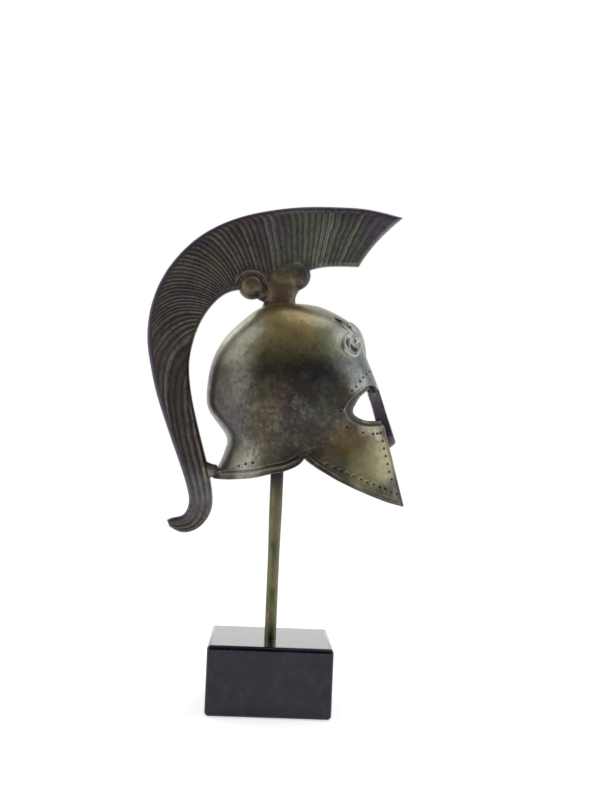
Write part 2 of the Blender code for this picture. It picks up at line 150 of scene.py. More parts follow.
class Nodes:
    """A node tree, filled in from left to right."""

    def __init__(self, tree):
        self.tree = tree

    def node(self, kind, inputs=None, **settings):
        """A new node, with its settings and then its inputs filled in."""
        made = self.tree.nodes.new(kind)
        for name, value in settings.items():
            setattr(made, name, value)
        self.fill(made, inputs or {})
        return made

    def fill(self, node, inputs):
        """Put values or other nodes' outputs into a node's inputs, by name or number."""
        for label, source in inputs.items():
            if isinstance(source, bpy.types.NodeSocket):
                self.tree.links.new(source, node.inputs[label])
            else:
                node.inputs[label].default_value = source

    def parts(self, vector):
        return self.node("ShaderNodeSeparateXYZ", {0: vector}).outputs

    def noise(self, size, detail=4.0, roughness=0.55, place=None, distortion=0.0, output="Fac"):
        """Cloudy noise, 0 to 1, whose blots are about size metres across."""
        inputs = {"Vector": place or self.place, "Scale": 1 / size, "Detail": detail}
        inputs.update({"Roughness": roughness, "Distortion": distortion})
        return self.node("ShaderNodeTexNoise", inputs).outputs[output]

    def maths(self, operation, a, b=0.0):
        return self.node("ShaderNodeMath", {0: a, 1: b}, operation=operation).outputs[0]

    def plus(self, a, b):
        return self.maths("ADD", a, b)

    def minus(self, a, b):
        return self.maths("SUBTRACT", a, b)

    def times(self, a, b):
        return self.maths("MULTIPLY", a, b)

    def fade(self, value, start, end, low=0.0, high=1.0):
        """From low at start to high at end, smoothly; start may be past end."""
        inputs = {"Value": value, "From Min": start, "From Max": end, "To Min": low, "To Max": high}
        return self.node("ShaderNodeMapRange", inputs, interpolation_type="SMOOTHSTEP").outputs["Result"]

    def vectors(self, operation, *terms, output="Vector"):
        return self.node("ShaderNodeVectorMath", dict(enumerate(terms)), operation=operation).outputs[output]


class Finish(Nodes):
    """A material, whose colour, gloss and bump come from its node tree."""

    def __init__(self, name):
        self.material = bpy.data.materials.new(name)
        self.material.use_nodes = True
        super().__init__(self.material.node_tree)
        self.shader = self.tree.nodes["Principled BSDF"]
        self.place = self.node("ShaderNodeTexCoord").outputs["Object"]

    def attribute(self, name):
        return self.node("ShaderNodeAttribute", attribute_name=name).outputs["Fac"]

    def mix(self, share, one, other):
        """Colour between one and other."""
        one, other = (c if isinstance(c, bpy.types.NodeSocket) else (*c, 1.0) for c in (one, other))
        inputs = {"Factor": share, "A": one, "B": other}
        return self.node("ShaderNodeMix", inputs, data_type="RGBA").outputs["Result"]

    def coats(self, colour, *coats):
        """Colour with coats (share, colour) laid over it one after another."""
        for share, tint in coats:
            colour = self.mix(share, colour, tint)
        return colour

    def ragged(self, size, push):
        """Place folded onto one side of y = 0 and pushed about, which gives patches ragged edges."""
        x, y, z = self.parts(self.place)
        folded = self.node("ShaderNodeCombineXYZ", {"X": x, "Y": self.maths("ABSOLUTE", y), "Z": z})
        clouds = self.noise(size, 5, 0.6, output="Color")
        shift = self.vectors("MULTIPLY_ADD", clouds, (2 * push,) * 3, (-push,) * 3)
        return self.vectors("ADD", folded.outputs[0], shift)

    def patch(self, place, centre, reach, most=1.0):
        """Most near the centre, fading to nothing at the reach; centre and reach are in mm."""
        away = self.vectors("DISTANCE", place, tuple(MM * value for value in centre), output="Value")
        return self.fade(away, MM * reach, PATCH_CORE * MM * reach, 0.0, most)

    def patched(self, colour, place, patches):
        """Colour with patches (centre, reach, share, colour) laid over it one after another."""
        return self.coats(colour, *((self.patch(place, *where), tint) for *where, tint in patches))

    def bump(self, height, depth, strength=1.0):
        """Bump of this depth in metres, on top of any bump made before."""
        inputs = {"Height": height, "Distance": depth, "Strength": strength}
        before = self.shader.inputs["Normal"]
        if before.is_linked:
            inputs["Normal"] = before.links[0].from_socket
        self.fill(self.shader, {"Normal": self.node("ShaderNodeBump", inputs).outputs["Normal"]})


def black_stone():
    stone = Finish("black_stone")
    clouds = stone.noise(0.011, 6, 0.65)
    grains = stone.noise(0.0011, 3, 0.7)
    blooms = stone.noise(0.0036, 5, 0.7)
    cracks = {"Vector": stone.ragged(0.016, 0.006), "Scale": 1 / 0.021}
    cells = stone.node("ShaderNodeTexVoronoi", cracks, feature="DISTANCE_TO_EDGE").outputs["Distance"]
    vein = stone.times(stone.fade(cells, 0.035, 0.0), stone.fade(clouds, 0.45, 0.62))
    colour = stone.coats(
        (0.002, 0.002, 0.007),
        (stone.fade(clouds, 0.38, 0.68), (0.008, 0.007, 0.020)),
        (stone.fade(blooms, 0.46, 0.66), (0.016, 0.012, 0.036)),
        (stone.fade(grains, 0.58, 0.78), (0.020, 0.020, 0.026)),
        (stone.times(vein, 0.05), (0.16, 0.165, 0.18)),
    )
    dull = stone.fade(grains, 0.3, 0.8, *STONE_ROUGHNESS)
    stone.fill(stone.shader, {"Base Color": colour, "Roughness": dull, "IOR": STONE_IOR})
    stone.fill(stone.shader, {"Coat Weight": 0.9, "Coat Roughness": dull, "Coat IOR": STONE_IOR})
    stone.bump(stone.noise(0.006, 2), 0.00002)
    return stone.material


base_low, base_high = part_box("base")
rod_low, rod_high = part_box("rod")
x0, y0, x1, y1 = *base_low.xy, *base_high.xy
square = ((x0, y0), (x1, y0), (x1, y1), (x0, y1))
block = mesh_object("block", *tube([[(x, y, z) for x, y in square] for z in (base_low.z, base_high.z)]))
modified(block, "BEVEL", width=EASED_EDGE, segments=EASED_STEPS, profile=0.5)
socket_radius = ROD_FOOT_RADIUS + SOCKET_CLEARANCE
drill = round_bar("drill", [(z, socket_radius) for z in (rod_low.z, base_high.z + SOCKET_OVERCUT)])
modified(block, "BOOLEAN", object=drill, solver="EXACT")
base = finished(block, "stone_block", black_stone(), smooth_angle=30)
bpy.data.objects.remove(drill, do_unlink=True)
for face in base.data.polygons:
    if face.area > GROUND_FACE:
        face.use_smooth = False
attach(base, "root")
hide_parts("base")


# ---------------------------------------------------------------------------------
# Rod. Drawn bronze, glued in the block. It swells a little where it is ground to fit
# the casting, and its end is hidden in the crest's stem.

ROD_TOP_RADIUS = 0.0029
SWELL_FROM = 0.064
SWELL_TO = 0.090
ROD_RINGS = 89


def ramp(value, start, end):
    """From 0 at start to 1 at end, straight; start may be past end."""
    return np.clip((value - start) / (end - start), 0, 1)


def smooth(share):
    return share * share * (3 - 2 * share)


def rod_bronze():
    rod = Finish("rod_bronze")
    drawn = rod.node("ShaderNodeMapping", {"Vector": rod.place, "Scale": (1.0, 1.0, 0.45)}).outputs[0]
    clouds = rod.noise(0.0075, 5, 0.6, drawn)
    grains = rod.noise(0.0011, 3, 0.6)
    # Painted shade: the rod is darker where it runs up inside the helmet, joined with dark patches of
    # tarnish.
    shade_inside_helmet = rod.fade(rod.parts(rod.place)["Z"], 0.090, 0.103)
    colour = rod.coats(
        (0.085, 0.090, 0.045),
        (rod.fade(clouds, 0.38, 0.62), (0.160, 0.145, 0.080)),
        (rod.fade(clouds, 0.50, 0.36), (0.050, 0.072, 0.058)),
        (rod.maths("MAXIMUM", shade_inside_helmet, rod.fade(clouds, 0.66, 0.76, 0.0, 0.6)), (0.040, 0.032, 0.036)),
        (rod.fade(grains, 0.60, 0.72, 0.0, 0.55), (0.030, 0.032, 0.020)),
    )
    dull = rod.fade(grains, 0.3, 0.7, 0.30, 0.46)
    rod.fill(rod.shader, {"Base Color": colour, "Metallic": 0.80, "Roughness": dull})
    rod.bump(grains, 0.00005)
    return rod.material


rod_heights = np.linspace(rod_low.z, rod_high.z, ROD_RINGS)
swell = smooth(ramp(rod_heights, SWELL_FROM, SWELL_TO))
rod_radii = ROD_FOOT_RADIUS + (ROD_TOP_RADIUS - ROD_FOOT_RADIUS) * swell
bar = round_bar("rod", zip(rod_heights, rod_radii))
rod = finished(bar, "bronze_rod", rod_bronze(), smooth_angle=40)
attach(rod, "root")
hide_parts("rod")


# ---------------------------------------------------------------------------------
# Helmet. One hollow bronze casting with a wall of 3 mm, cleaned up by hand: raised
# lips along its edges, punched marks beside them, and scrolls raised on the brow.

WALL = 0.003
WIDEST_X = 0.002
SECTIONS = np.array((
    # height, back, front, half width, front roundness
    (0.1790, 0.0000, 0.0045, 0.0000, 2.00),
    (0.1783, -0.0060, 0.0145, 0.0074, 2.00),
    (0.1754, -0.0122, 0.0227, 0.0145, 2.00),
    (0.1704, -0.0182, 0.0312, 0.0199, 2.00),
    (0.1637, -0.0247, 0.0353, 0.0240, 2.00),
    (0.1560, -0.0294, 0.0380, 0.0266, 2.00),
    (0.1480, -0.0319, 0.0415, 0.0280, 2.00),
    (0.1400, -0.0328, 0.0448, 0.02815, 1.95),
    (0.1320, -0.0324, 0.0477, 0.0278, 1.90),
    (0.1255, -0.0287, 0.0502, 0.0270, 1.85),
    (0.1185, -0.0234, 0.0528, 0.0263, 1.80),
    (0.1130, -0.0235, 0.0546, 0.0261, 1.80),
    (0.1065, -0.0258, 0.0564, 0.0263, 1.80),
    (0.1000, -0.0286, 0.0582, 0.0266, 1.80),
    (0.0880, -0.0302, 0.0616, 0.0269, 1.80),
))
HEM = np.array((
    # x, height of the hem, from the cheek guard's tip to the back of the neck
    (0.0700, 0.0866),
    (0.0570, 0.0903),
    (0.0500, 0.0920),
    (0.0442, 0.0939),
    (0.0368, 0.0966),
    (0.0297, 0.0996),
    (0.0243, 0.1021),
    (0.0190, 0.1050),
    (0.0148, 0.1075),
    (0.0111, 0.1107),
    (0.0101, 0.1089),
    (0.0080, 0.1071),
    (0.0054, 0.1057),
    (0.0020, 0.1044),
    (-0.0034, 0.1031),
    (-0.0085, 0.1016),
    (-0.0140, 0.1006),
    (-0.0210, 0.0998),
    (-0.0286, 0.0995),
    (-0.0450, 0.0995),
))
NOTCH_ROW = 9
NOTCH_ALONG = 0.42
EYE = np.array((
    # x and height of its edge inside, then outside, from the nose guard round, and
    # how deep under the outside its inner edge is
    (0.0390, 0.1417, 0.0393, 0.1436, 0.0036),
    (0.0360, 0.1393, 0.0350, 0.1411, 0.0030),
    (0.0335, 0.1362, 0.0312, 0.1379, 0.0030),
    (0.0320, 0.1334, 0.0288, 0.1352, 0.0030),
    (0.0316, 0.1316, 0.0270, 0.1319, 0.0030),
    (0.0325, 0.1300, 0.0287, 0.1294, 0.0030),
    (0.0354, 0.1285, 0.0318, 0.1266, 0.0030),
    (0.0388, 0.1279, 0.0376, 0.1250, 0.0025),
    (0.0425, 0.1281, 0.0425, 0.1252, 0.0017),
))
EYE_CORNER_ROW = 4
NOSE = np.array((
    # half width, height of the nose guard's side, from its tip up
    (0.0000, 0.1172),
    (0.0014, 0.1174),
    (0.0030, 0.1185),
    (0.0041, 0.1207),
    (0.0040, 0.1240),
    (0.0037, 0.1270),
    (0.0034, 0.1330),
    (0.0033, 0.1375),
    (0.0036, 0.1415),
))
NOSE_DEPTH = 0.0050
NOSE_RAKE = 0.0017
NOSE_BACK = 0.8
NOSE_THICK_DOWN = (0.1500, 0.1420)
NOSE_THICK_ACROSS = (0.0062, 0.0032)
SLIT_TOP = (0.0093, 0.1258)
SLIT_TOP_INSIDE = (0.0090, 0.1283)
SLIT_TOP_DEPTH = 0.0009
SLIT_THIN_SHARE = 0.14
SLIT_HEM = (0.0085, 0.0915)
TINY = 1e-9
CROWN_PLACE = 0.05
HOLE_SEARCH = (CROWN_PLACE, 1.5, 120)
# Rounds that settle a chart place, the cheek guard's corner, the hem and the notch.
CHART_ROUNDS = 16
CORNER_ROUNDS = 12
HEM_ROUNDS = 30
HEM_ROUND_SHARE = 0.8
NOTCH_ROUNDS = 3
# Rows along the five stretches of the edge, and along other runs before they are evened out.
STRETCH_ROWS = (200, 300, 260, 260, 700)
FINE_ROWS = 400
MIDLINE_ROWS = 200
HEM_STRETCH = 4
# The dish of the lids is whole along stretches 1 and 2, and fades out past both ends.
LID_STRETCHES = ((0.6, 1.0, 2.0, 2.6), (0.0, 1.0, 1.0, 0.0))
EDGE_STEP = 0.0005
EASE_ROWS = 4
EASE_REACH = 12
EDGE_BEND_STEPS = 4
INSIDE_BEND_STEPS = 3
BEVEL_SHARES = (0.1, 0.2, 0.3, 0.4, 0.5, 0.6, 0.7, 0.78, 0.85, 0.92)
DISH_AT = 0.42
DISH_WIDTH = 0.26
DISH_DEPTH = 0.00045
LIP_AT = 0.86
LIP_WIDTH = 0.12
LIP_HEIGHT = 0.00022
EDGE_ROUND = 0.0005
INSIDE_ROUND = 0.0003
CORNER_EASE = 0.0006
SKIN_STEP = 0.0010
FINE_STEP = 0.00027
INNER_STEP = 0.0018
ROD_HOLE = 0.0031
HOLE_STEPS = 40
TIP_HEIGHT = 0.0024
TIP_DEPTH = 0.0036
TIP_SETBACK = 0.0018
NOSE_REACH = 0.0062
WAX_WEIGHT = 0.3
WAX_ROUGHNESS = 0.22
TURN_SCALE = 0.030
PLACE_SCALE = 0.0078
# The chart (turn, place) laid flat at about the skin's own size.
CHART_SCALE = (TURN_SCALE, -PLACE_SCALE)
# Metres to one unit of turn at the first places down from the crown, and below them.
METRES_A_TURN = (0.003, 0.0085, 0.0165, 0.024, TURN_SCALE)
# A grid of triangles: its first row, the gap between rows, and how far it stays from edges.
GRID_FROM = 0.1
GRID_ROW = 0.87
GRID_END = 0.4
GRID_CLEAR = 0.55
OUTSIDE_GRIDS = ((SKIN_STEP, 3 * FINE_STEP), (2 * FINE_STEP, FINE_STEP), (FINE_STEP, -1.0))
INSIDE_GRIDS = ((INNER_STEP, -1.0),)
LIP_ROWS = (
    # along what: bead, groove, bead and groove as (distance from the edge, half width, rise) in mm
    ("nose guard", ((0.5, 0.4, 0.0), (1.3, 0.4, 0.0), (2.6, 0.6, 0.0), (3.7, 0.5, 0.0))),
    ("upper lid", ((0.25, 0.55, 0.16), (1.1, 0.4, 0.0), (2.2, 0.7, 0.0), (3.4, 0.5, 0.0))),
    ("lower lid", ((0.30, 0.60, 0.20), (1.15, 0.45, 0.0), (2.8, 0.7, 0.0), (3.7, 0.5, 0.0))),
    ("cheek front", ((1.0, 0.6, 0.18), (2.1, 0.45, -0.12), (3.1, 0.6, 0.0), (4.2, 0.4, 0.0))),
    ("cheek hem", ((0.45, 0.45, 0.16), (1.35, 0.40, -0.20), (2.15, 0.50, 0.18), (3.0, 0.4, -0.08))),
    ("neck hem", ((0.4, 0.4, 0.04), (1.0, 0.5, -0.03), (2.5, 0.85, 0.30), (3.8, 0.5, -0.24))),
)
LIP_SIZES = ("at", "half", "rise")
LIPS = len(LIP_ROWS[0][1])
# The fine skin that the lips need starts at the top of the nose guard.
LIPS_FROM = 0.7
LIP_REACH = 0.0048
LIP_BLEND = 0.0012
NOTCH_X = 0.0111
NOTCH_PLAIN = (0.0006, 0.0034)
NOTCH_SHARE = 0.05
MARK_STEP = 0.00018
MARK_END = 0.12
ON_MIDLINE = 1e-3
MIRROR_JOIN = 1e-7
MARK_REACH = 0.0011
PUNCH_HALF = 0.00080
PUNCH_DEPTH = 0.00065
PUNCH_SEED = 11
PUNCH_WANDER = 0.00016
PUNCH_ROWS = (
    # view, how many, places the row goes through
    ("front", 9, (
        (0.0208, 0.1403), (0.0188, 0.1430), (0.0148, 0.1470),
        (0.0094, 0.1496), (0.0041, 0.1500), (0.0, 0.1501),
    )),
    ("side", 2, ((0.0291, 0.1247), (0.0359, 0.1228))),
    ("side", 3, ((0.0408, 0.1223), (0.0425, 0.1224), (0.0444, 0.1227))),
    ("side", 6, ((0.0456, 0.1194), (0.0473, 0.1121), (0.0482, 0.1084), (0.0503, 0.1026))),
    ("side", 12, ((0.0205, 0.1085), (0.0299, 0.1046), (0.0395, 0.1010), (0.0451, 0.0990), (0.0525, 0.0962))),
    ("side", 3, ((-0.0169, 0.1061), (-0.0143, 0.1070), (-0.0109, 0.1078))),
)
RAISED_LINES = (
    # view, half width, rise, rows
    ("front", 0.0036, 0.0013, ((0.0, 0.1580), (0.0, 0.1652), (0.0, 0.1716))),
    ("front", 0.0011, 0.0009, (
        (0.0092, 0.1656), (0.0121, 0.1656), (0.0147, 0.1648), (0.0168, 0.1625), (0.0183, 0.1597),
        (0.0182, 0.1571), (0.0157, 0.1557), (0.0127, 0.1573), (0.0096, 0.1598), (0.0083, 0.1621),
    )),
    ("front", 0.0024, 0.0013, ((0.0076, 0.1636), (0.0100, 0.1632), (0.0122, 0.1618))),
    ("front", 0.0011, 0.0007, ((0.0062, 0.1660), (0.0094, 0.1685), (0.0112, 0.1726))),
    ("front", 0.0011, 0.0006, ((0.0086, 0.1650), (0.0128, 0.1672), (0.0140, 0.1712))),
    ("side", 0.00045, 0.00026, ((0.0282, 0.1308), (0.0270, 0.1319), (0.0256, 0.1332))),
    ("side", 0.00045, 0.00026, ((0.0282, 0.1334), (0.0270, 0.1319), (0.0256, 0.1304))),
)
HOLLOW_LINES = (
    ("front", 0.0017, -0.0007, ((0.0114, 0.1727), (0.0121, 0.1711), (0.0130, 0.1691))),
    ("front", 0.0013, -0.0009, ((0.0092, 0.1712), (0.0099, 0.1699), (0.0103, 0.1684))),
    ("front", 0.0014, -0.0004, ((0.0140, 0.1638), (0.0160, 0.1618), (0.0166, 0.1592))),
    ("front", 0.0016, -0.0010, ((0.0122, 0.1592), (0.0136, 0.1588), (0.0146, 0.1596), (0.0148, 0.1610))),
    ("side", 0.0007, -0.00018, ((0.0108, 0.1114), (0.0110, 0.1140), (0.0109, 0.1168))),
)
PATINA_AND_PAINTED_LIGHT = (
    # patches of the helmet's colour, some of them painted highlights, reflections and shade: centre as x, |y|
    # and height in mm, reach in mm, share, colour
    ((2, 18, 173), 18, 0.80, (0.230, 0.165, 0.055)),
    # painted highlight, broad and pale, on the back of the dome
    ((-20, 15, 161), 17, 0.85, (0.350, 0.340, 0.265)),
    ((-18, 23, 140), 14, 0.60, (0.140, 0.140, 0.112)),
    ((-13, 26, 133), 10, 0.75, (0.046, 0.042, 0.056)),
    ((-21, 18, 126), 12, 0.85, (0.058, 0.054, 0.064)),
    ((-14, 22, 108), 13, 0.90, (0.310, 0.300, 0.240)),
    ((14, 27, 143), 15, 0.92, (0.022, 0.016, 0.026)),
    ((8, 28, 136), 12, 0.85, (0.026, 0.020, 0.026)),
    ((21, 25, 149), 12, 0.80, (0.034, 0.028, 0.040)),
    ((21, 26, 137), 10, 0.75, (0.044, 0.058, 0.034)),
    ((-2, 28, 138), 12, 0.75, (0.080, 0.048, 0.026)),
    ((-7, 26, 121), 14, 0.75, (0.066, 0.042, 0.020)),
    ((10, 26, 119), 15, 0.92, (0.022, 0.012, 0.005)),
    ((22, 24, 128), 10, 0.70, (0.040, 0.030, 0.022)),
    ((28, 21, 118), 12, 0.85, (0.140, 0.092, 0.026)),
    ((38, 19, 107), 13, 0.90, (0.310, 0.290, 0.145)),
    ((45, 14, 111), 13, 0.95, (0.270, 0.250, 0.135)),
    # greenish patina, with a painted sheen, on the side of the brow
    ((27, 20, 158), 15, 0.90, (0.170, 0.195, 0.155)),
    ((36, 12, 152), 14, 0.95, (0.075, 0.092, 0.104)),
    ((20, 22, 163), 10, 0.50, (0.170, 0.200, 0.075)),
    # painted reflection on the brow beside the ornament
    ((36, 8, 166), 13, 0.92, (0.190, 0.200, 0.215)),
    # painted reflection on the brow beside the ornament
    ((26, 9, 171), 10, 0.85, (0.200, 0.205, 0.200)),
    # painted highlight on the front of the crown
    ((17, 17, 171), 10, 0.60, (0.280, 0.285, 0.200)),
    # painted highlight on the back of the dome
    ((-16, 19, 162), 8, 0.85, (0.560, 0.530, 0.430)),
    # painted highlight high on the back of the dome, near its edge
    ((-12, 8, 174), 7, 0.65, (0.400, 0.380, 0.310)),
    ((35, 17, 143), 8, 0.75, (0.290, 0.310, 0.285)),
    # painted glint on the brow just above the nose guard
    ((43, 6, 142), 3, 0.90, (0.600, 0.620, 0.600)),
    ((43, 13, 123), 5, 0.80, (0.420, 0.390, 0.290)),
    ((24, 23, 109), 6, 0.60, (0.165, 0.145, 0.095)),
    # painted shade in the bevel at the eye's back corner
    ((29, 21, 132), 4, 0.70, (0.034, 0.032, 0.027)),
    ((33, 20, 128), 4, 0.55, (0.040, 0.035, 0.030)),
    ((26, 21, 153), 5, 0.75, (0.055, 0.050, 0.070)),
    ((6, 28, 133), 8, 0.90, (0.014, 0.010, 0.013)),
    ((9, 27, 127), 6, 0.55, (0.026, 0.016, 0.013)),
    ((-10, 26, 138), 7, 0.50, (0.120, 0.110, 0.045)),
    ((-8, 26, 130), 7, 0.50, (0.130, 0.112, 0.042)),
    ((13, 27, 131), 6, 0.55, (0.055, 0.068, 0.042)),
    ((-4, 26, 111), 9, 0.60, (0.170, 0.150, 0.105)),
    ((10, 26, 113), 8, 0.40, (0.085, 0.065, 0.035)),
    ((22, 24, 112), 6, 0.50, (0.110, 0.085, 0.048)),
    ((22, 24, 123), 7, 0.60, (0.036, 0.024, 0.014)),
    ((38, 17, 123), 6, 0.85, (0.330, 0.300, 0.195)),
    ((32, 20, 112), 8, 0.50, (0.140, 0.112, 0.040)),
    # painted highlight on the front of the crown
    ((20, 19, 165), 9, 0.45, (0.270, 0.290, 0.205)),
    # painted highlight on the front of the crown
    ((25, 16, 165), 7, 0.75, (0.400, 0.440, 0.415)),
    # painted highlight on the front of the crown
    ((15, 13, 174), 8, 0.75, (0.370, 0.380, 0.350)),
)


def spline(table, places):
    """Rows at fractional places in a table, on a natural cubic spline through it."""
    table = np.asarray(table, float)
    count = len(table)
    system = np.diag(np.full(count, 4.0)) + np.diag(np.ones(count - 1), 1) + np.diag(np.ones(count - 1), -1)
    system[0, 0] = system[-1, -1] = 2.0
    after = np.vstack([table[1:], table[-1:]])
    before = np.vstack([table[:1], table[:-1]])
    slopes = np.linalg.solve(system, 3 * (after - before))
    places = np.clip(np.atleast_1d(places), 0, count - 1)
    first = np.minimum(places.astype(int), count - 2)
    t = (places - first)[:, None]
    a, b, da, db = table[first], table[first + 1], slopes[first], slopes[first + 1]
    return a + t * (da + t * (3 * (b - a) - 2 * da - db + t * (2 * (a - b) + da + db)))


def spline_run(table, count):
    """This many rows all along the spline through a table."""
    return spline(table, np.linspace(0, len(table) - 1, count))


EVERY_PLACE = np.linspace(0, len(SECTIONS) - 1, 4001)
EVERY_HEIGHT = spline(SECTIONS, EVERY_PLACE)[:, 0]
HEM_LINE = np.vstack([spline_run(rows, 1000) for rows in (HEM[: NOTCH_ROW + 1], HEM[NOTCH_ROW:])])[::-1]


def place_at(height):
    """Place down the table of sections of a height, 0 at the crown."""
    return np.interp(-np.asarray(height, float), -EVERY_HEIGHT, EVERY_PLACE)


def hem_height(x):
    return np.interp(x, *HEM_LINE.T)


def unit(vectors):
    return vectors / np.linalg.norm(vectors, axis=1)[:, None]


def outside(turn, place):
    """Points of the helmet's outside. Turn 0 is the face and -pi the back, on the -Y side."""
    height, back, front, half, roundness = spline(SECTIONS, place).T
    c, s = np.cos(turn), np.sin(turn)
    power = np.where(c > 0, 2 / roundness, 1.0)
    reach = np.where(c > 0, front - WIDEST_X, WIDEST_X - back)
    x = WIDEST_X + np.sign(c) * reach * np.abs(c) ** power
    y = np.sign(s) * half * np.abs(s) ** power
    y[np.abs(s) < TINY] = 0.0
    return np.stack([x, y, height], axis=1)


def skin(turn, place, depth=0.0):
    """(points, normals) of the helmet's wall at a depth under its outside."""
    turn, place = np.broadcast_arrays(*(np.atleast_1d(np.asarray(part, float)) for part in (turn, place)))
    step = 1e-3
    place_low = np.clip(place, CROWN_PLACE, len(SECTIONS) - 1 - step)
    across = outside(turn + step, place_low) - outside(turn - step, place_low)
    down = outside(turn, place_low + step) - outside(turn, place_low - step)
    normals = np.cross(down, across)
    normals[:, 1][np.abs(np.sin(turn)) < TINY] = 0.0
    normals = unit(normals)
    return outside(turn, place) - normals * np.reshape(depth, (-1, 1)), normals


def chart_of(view, across, height, depth=0.0):
    """(turn, place) rows of wall points seen from the side (x) or from the front (|y|)."""
    aim = np.stack([np.asarray(across, float), np.asarray(height, float)])
    seek = aim.copy()
    for _ in range(CHART_ROUNDS if np.any(depth) else 1):
        place = place_at(seek[1])
        _, back, front, half, roundness = spline(SECTIONS, place).T
        if view == "side":
            ahead = seek[0] > WIDEST_X
            share = (seek[0] - WIDEST_X) / np.where(ahead, front - WIDEST_X, WIDEST_X - back)
            share = np.clip(np.abs(share), 0, 1) ** np.where(ahead, roundness / 2, 1.0)
            turn = -np.arccos(np.where(ahead, share, -share))
        else:
            turn = -np.arcsin(np.clip(seek[0] / half, 0, 1) ** (roundness / 2))
        found, _ = skin(turn, place, depth)
        seen = found[:, 0] if view == "side" else -found[:, 1]
        seek += aim - np.stack([seen, found[:, 2]])
    return np.stack([turn, place], axis=1)


def hem_corner(depth):
    """Chart place where the cheek guard's front edge meets the hem."""
    height = SLIT_HEM[1]
    for _ in range(CORNER_ROUNDS):
        corner = chart_of("front", [SLIT_HEM[0]], [height], depth)
        height = hem_height(skin(*corner.T, depth)[0][0, 0])
    return corner[0]


def hem_run(start, depth, count):
    """Chart rows along the hem from the cheek guard's corner to the back of the neck.

    The notch is at the same row at any depth, so that its sides are square to the sheet.
    """
    turn = np.linspace(start[0], -math.pi, count)
    ends = (0, round(NOTCH_ALONG * count), count - 1)
    for _ in range(NOTCH_ROUNDS):
        place = np.full(count, start[1])
        for _ in range(HEM_ROUNDS):
            found, _ = skin(turn, place, depth)
            height = spline(SECTIONS, place)[:, 0]
            below_hem = found[:, 2] - hem_height(found[:, 0])
            place = place_at(height - HEM_ROUND_SHARE * below_hem)
        rows = np.stack([turn, place], axis=1)
        notch_turn = np.interp(-HEM[NOTCH_ROW, 0], -found[:, 0], turn)
        turn = np.interp(np.arange(count), ends, (start[0], notch_turn, -math.pi))
    return rows


def run_along(rows, depth=0.0):
    """How far along its run each chart row is, in space."""
    places, _ = skin(rows[:, 0], rows[:, 1], depth)
    return np.concatenate([[0], np.cumsum(np.linalg.norm(np.diff(places, axis=0), axis=1))])


def evenly(rows, count, depth=0.0):
    """This many rows, evenly spaced, in the place of the rows given."""
    run = run_along(rows, depth)
    keep = np.concatenate([[True], np.diff(run) > TINY])
    wanted = np.linspace(0, run[-1], count)
    return np.stack([np.interp(wanted, run[keep], column[keep]) for column in rows.T], axis=1)


def resampled(rows, step):
    return evenly(rows, round(run_along(rows)[-1] / step) + 1)


def spaced_between(start, end, depth, step):
    """Chart rows between two ends on a midline, the ends left out."""
    rows = np.linspace(start, end, MIDLINE_ROWS)
    return evenly(rows, max(round(run_along(rows, depth)[-1] / step), 2) + 1, depth)[1:-1]


def side_edge(inside):
    """The five stretches of the edge of one side of the wall, as (turn, place, depth) rows."""
    wall = WALL if inside else 0.0

    def charted(view, across, height, depth):
        return np.column_stack([chart_of(view, across, height, depth), np.broadcast_to(depth, len(across))])

    half, height = spline_run(NOSE, STRETCH_ROWS[0]).T
    down = np.linspace(0, 1, STRETCH_ROWS[3])
    if inside:
        nose = charted("front", half * NOSE_BACK, height - NOSE_RAKE, NOSE_DEPTH)
        eye = charted("side", EYE[:, 0], EYE[:, 1], EYE[:, 4])
        slit_half, slit_top = SLIT_TOP_INSIDE
        slit_depth = np.interp(down, (0, SLIT_THIN_SHARE), (SLIT_TOP_DEPTH, WALL))
    else:
        nose = charted("front", half, height, 0.0)
        eye = charted("side", EYE[:, 2], EYE[:, 3], 0.0)
        slit_half, slit_top = SLIT_TOP
        slit_depth = np.zeros(len(down))
    corner = hem_corner(wall)
    corner_height = skin(*corner[:, None], wall)[0][0, 2]
    slit_across = slit_half + (SLIT_HEM[0] - slit_half) * down
    slit = charted("front", slit_across, slit_top + (corner_height - slit_top) * down, slit_depth)
    upper = np.vstack([nose[-1:], eye[: EYE_CORNER_ROW + 1]])
    lower = np.vstack([eye[EYE_CORNER_ROW:], slit[:1]])
    lids = [evenly(spline_run(lid, FINE_ROWS), count) for lid, count in zip((upper, lower), STRETCH_ROWS[1:])]
    hem = hem_run(corner, wall, STRETCH_ROWS[4])
    return nose, *lids, slit, np.column_stack([hem, np.full(len(hem), wall)])


def opening_edges():
    """Rows (turn, place, inner turn, inner place, inner depth, stretch) along the sheet's edge.

    It runs from the tip of the nose guard up its side, along the upper lid to the eye's
    corner and back along the lower one, down the cheek guard's front, and along the hem
    to the back of the neck. Those are the stretches 0 to 4.
    """
    runs = []
    for number, (outer, inner) in enumerate(zip(side_edge(False), side_edge(True))):
        runs.append(np.column_stack([outer[:, :2], inner, np.full(len(outer), float(number))]))
    return np.vstack([*(run[:-1] for run in runs[:-1]), runs[-1]])


def blurred(rows, reach, spread):
    """Rows blurred along their run; reach of them are lost at each end."""
    weights = np.exp(-0.5 * (np.arange(-reach, reach + 1) / spread) ** 2)
    weights /= weights.sum()
    return np.stack([np.convolve(column, weights, "valid") for column in rows.T], axis=1)


def eased_and_spaced(rows):
    """The same edge with its corners eased and its rows EDGE_STEP apart."""
    fine = resampled(rows, EDGE_STEP / EASE_ROWS)
    first, last = fine[1 : EASE_REACH + 1][::-1].copy(), fine[-EASE_REACH - 1 : -1][::-1].copy()
    first[:, [0, 2]] *= -1
    last[:, [0, 2]] = -2 * math.pi - last[:, [0, 2]]
    eased = blurred(np.vstack([first, fine, last]), EASE_REACH, CORNER_EASE * EASE_ROWS / EDGE_STEP)
    eased[0, [0, 2]] = 0.0
    eased[-1, [0, 2]] = -math.pi
    return resampled(eased, EDGE_STEP)


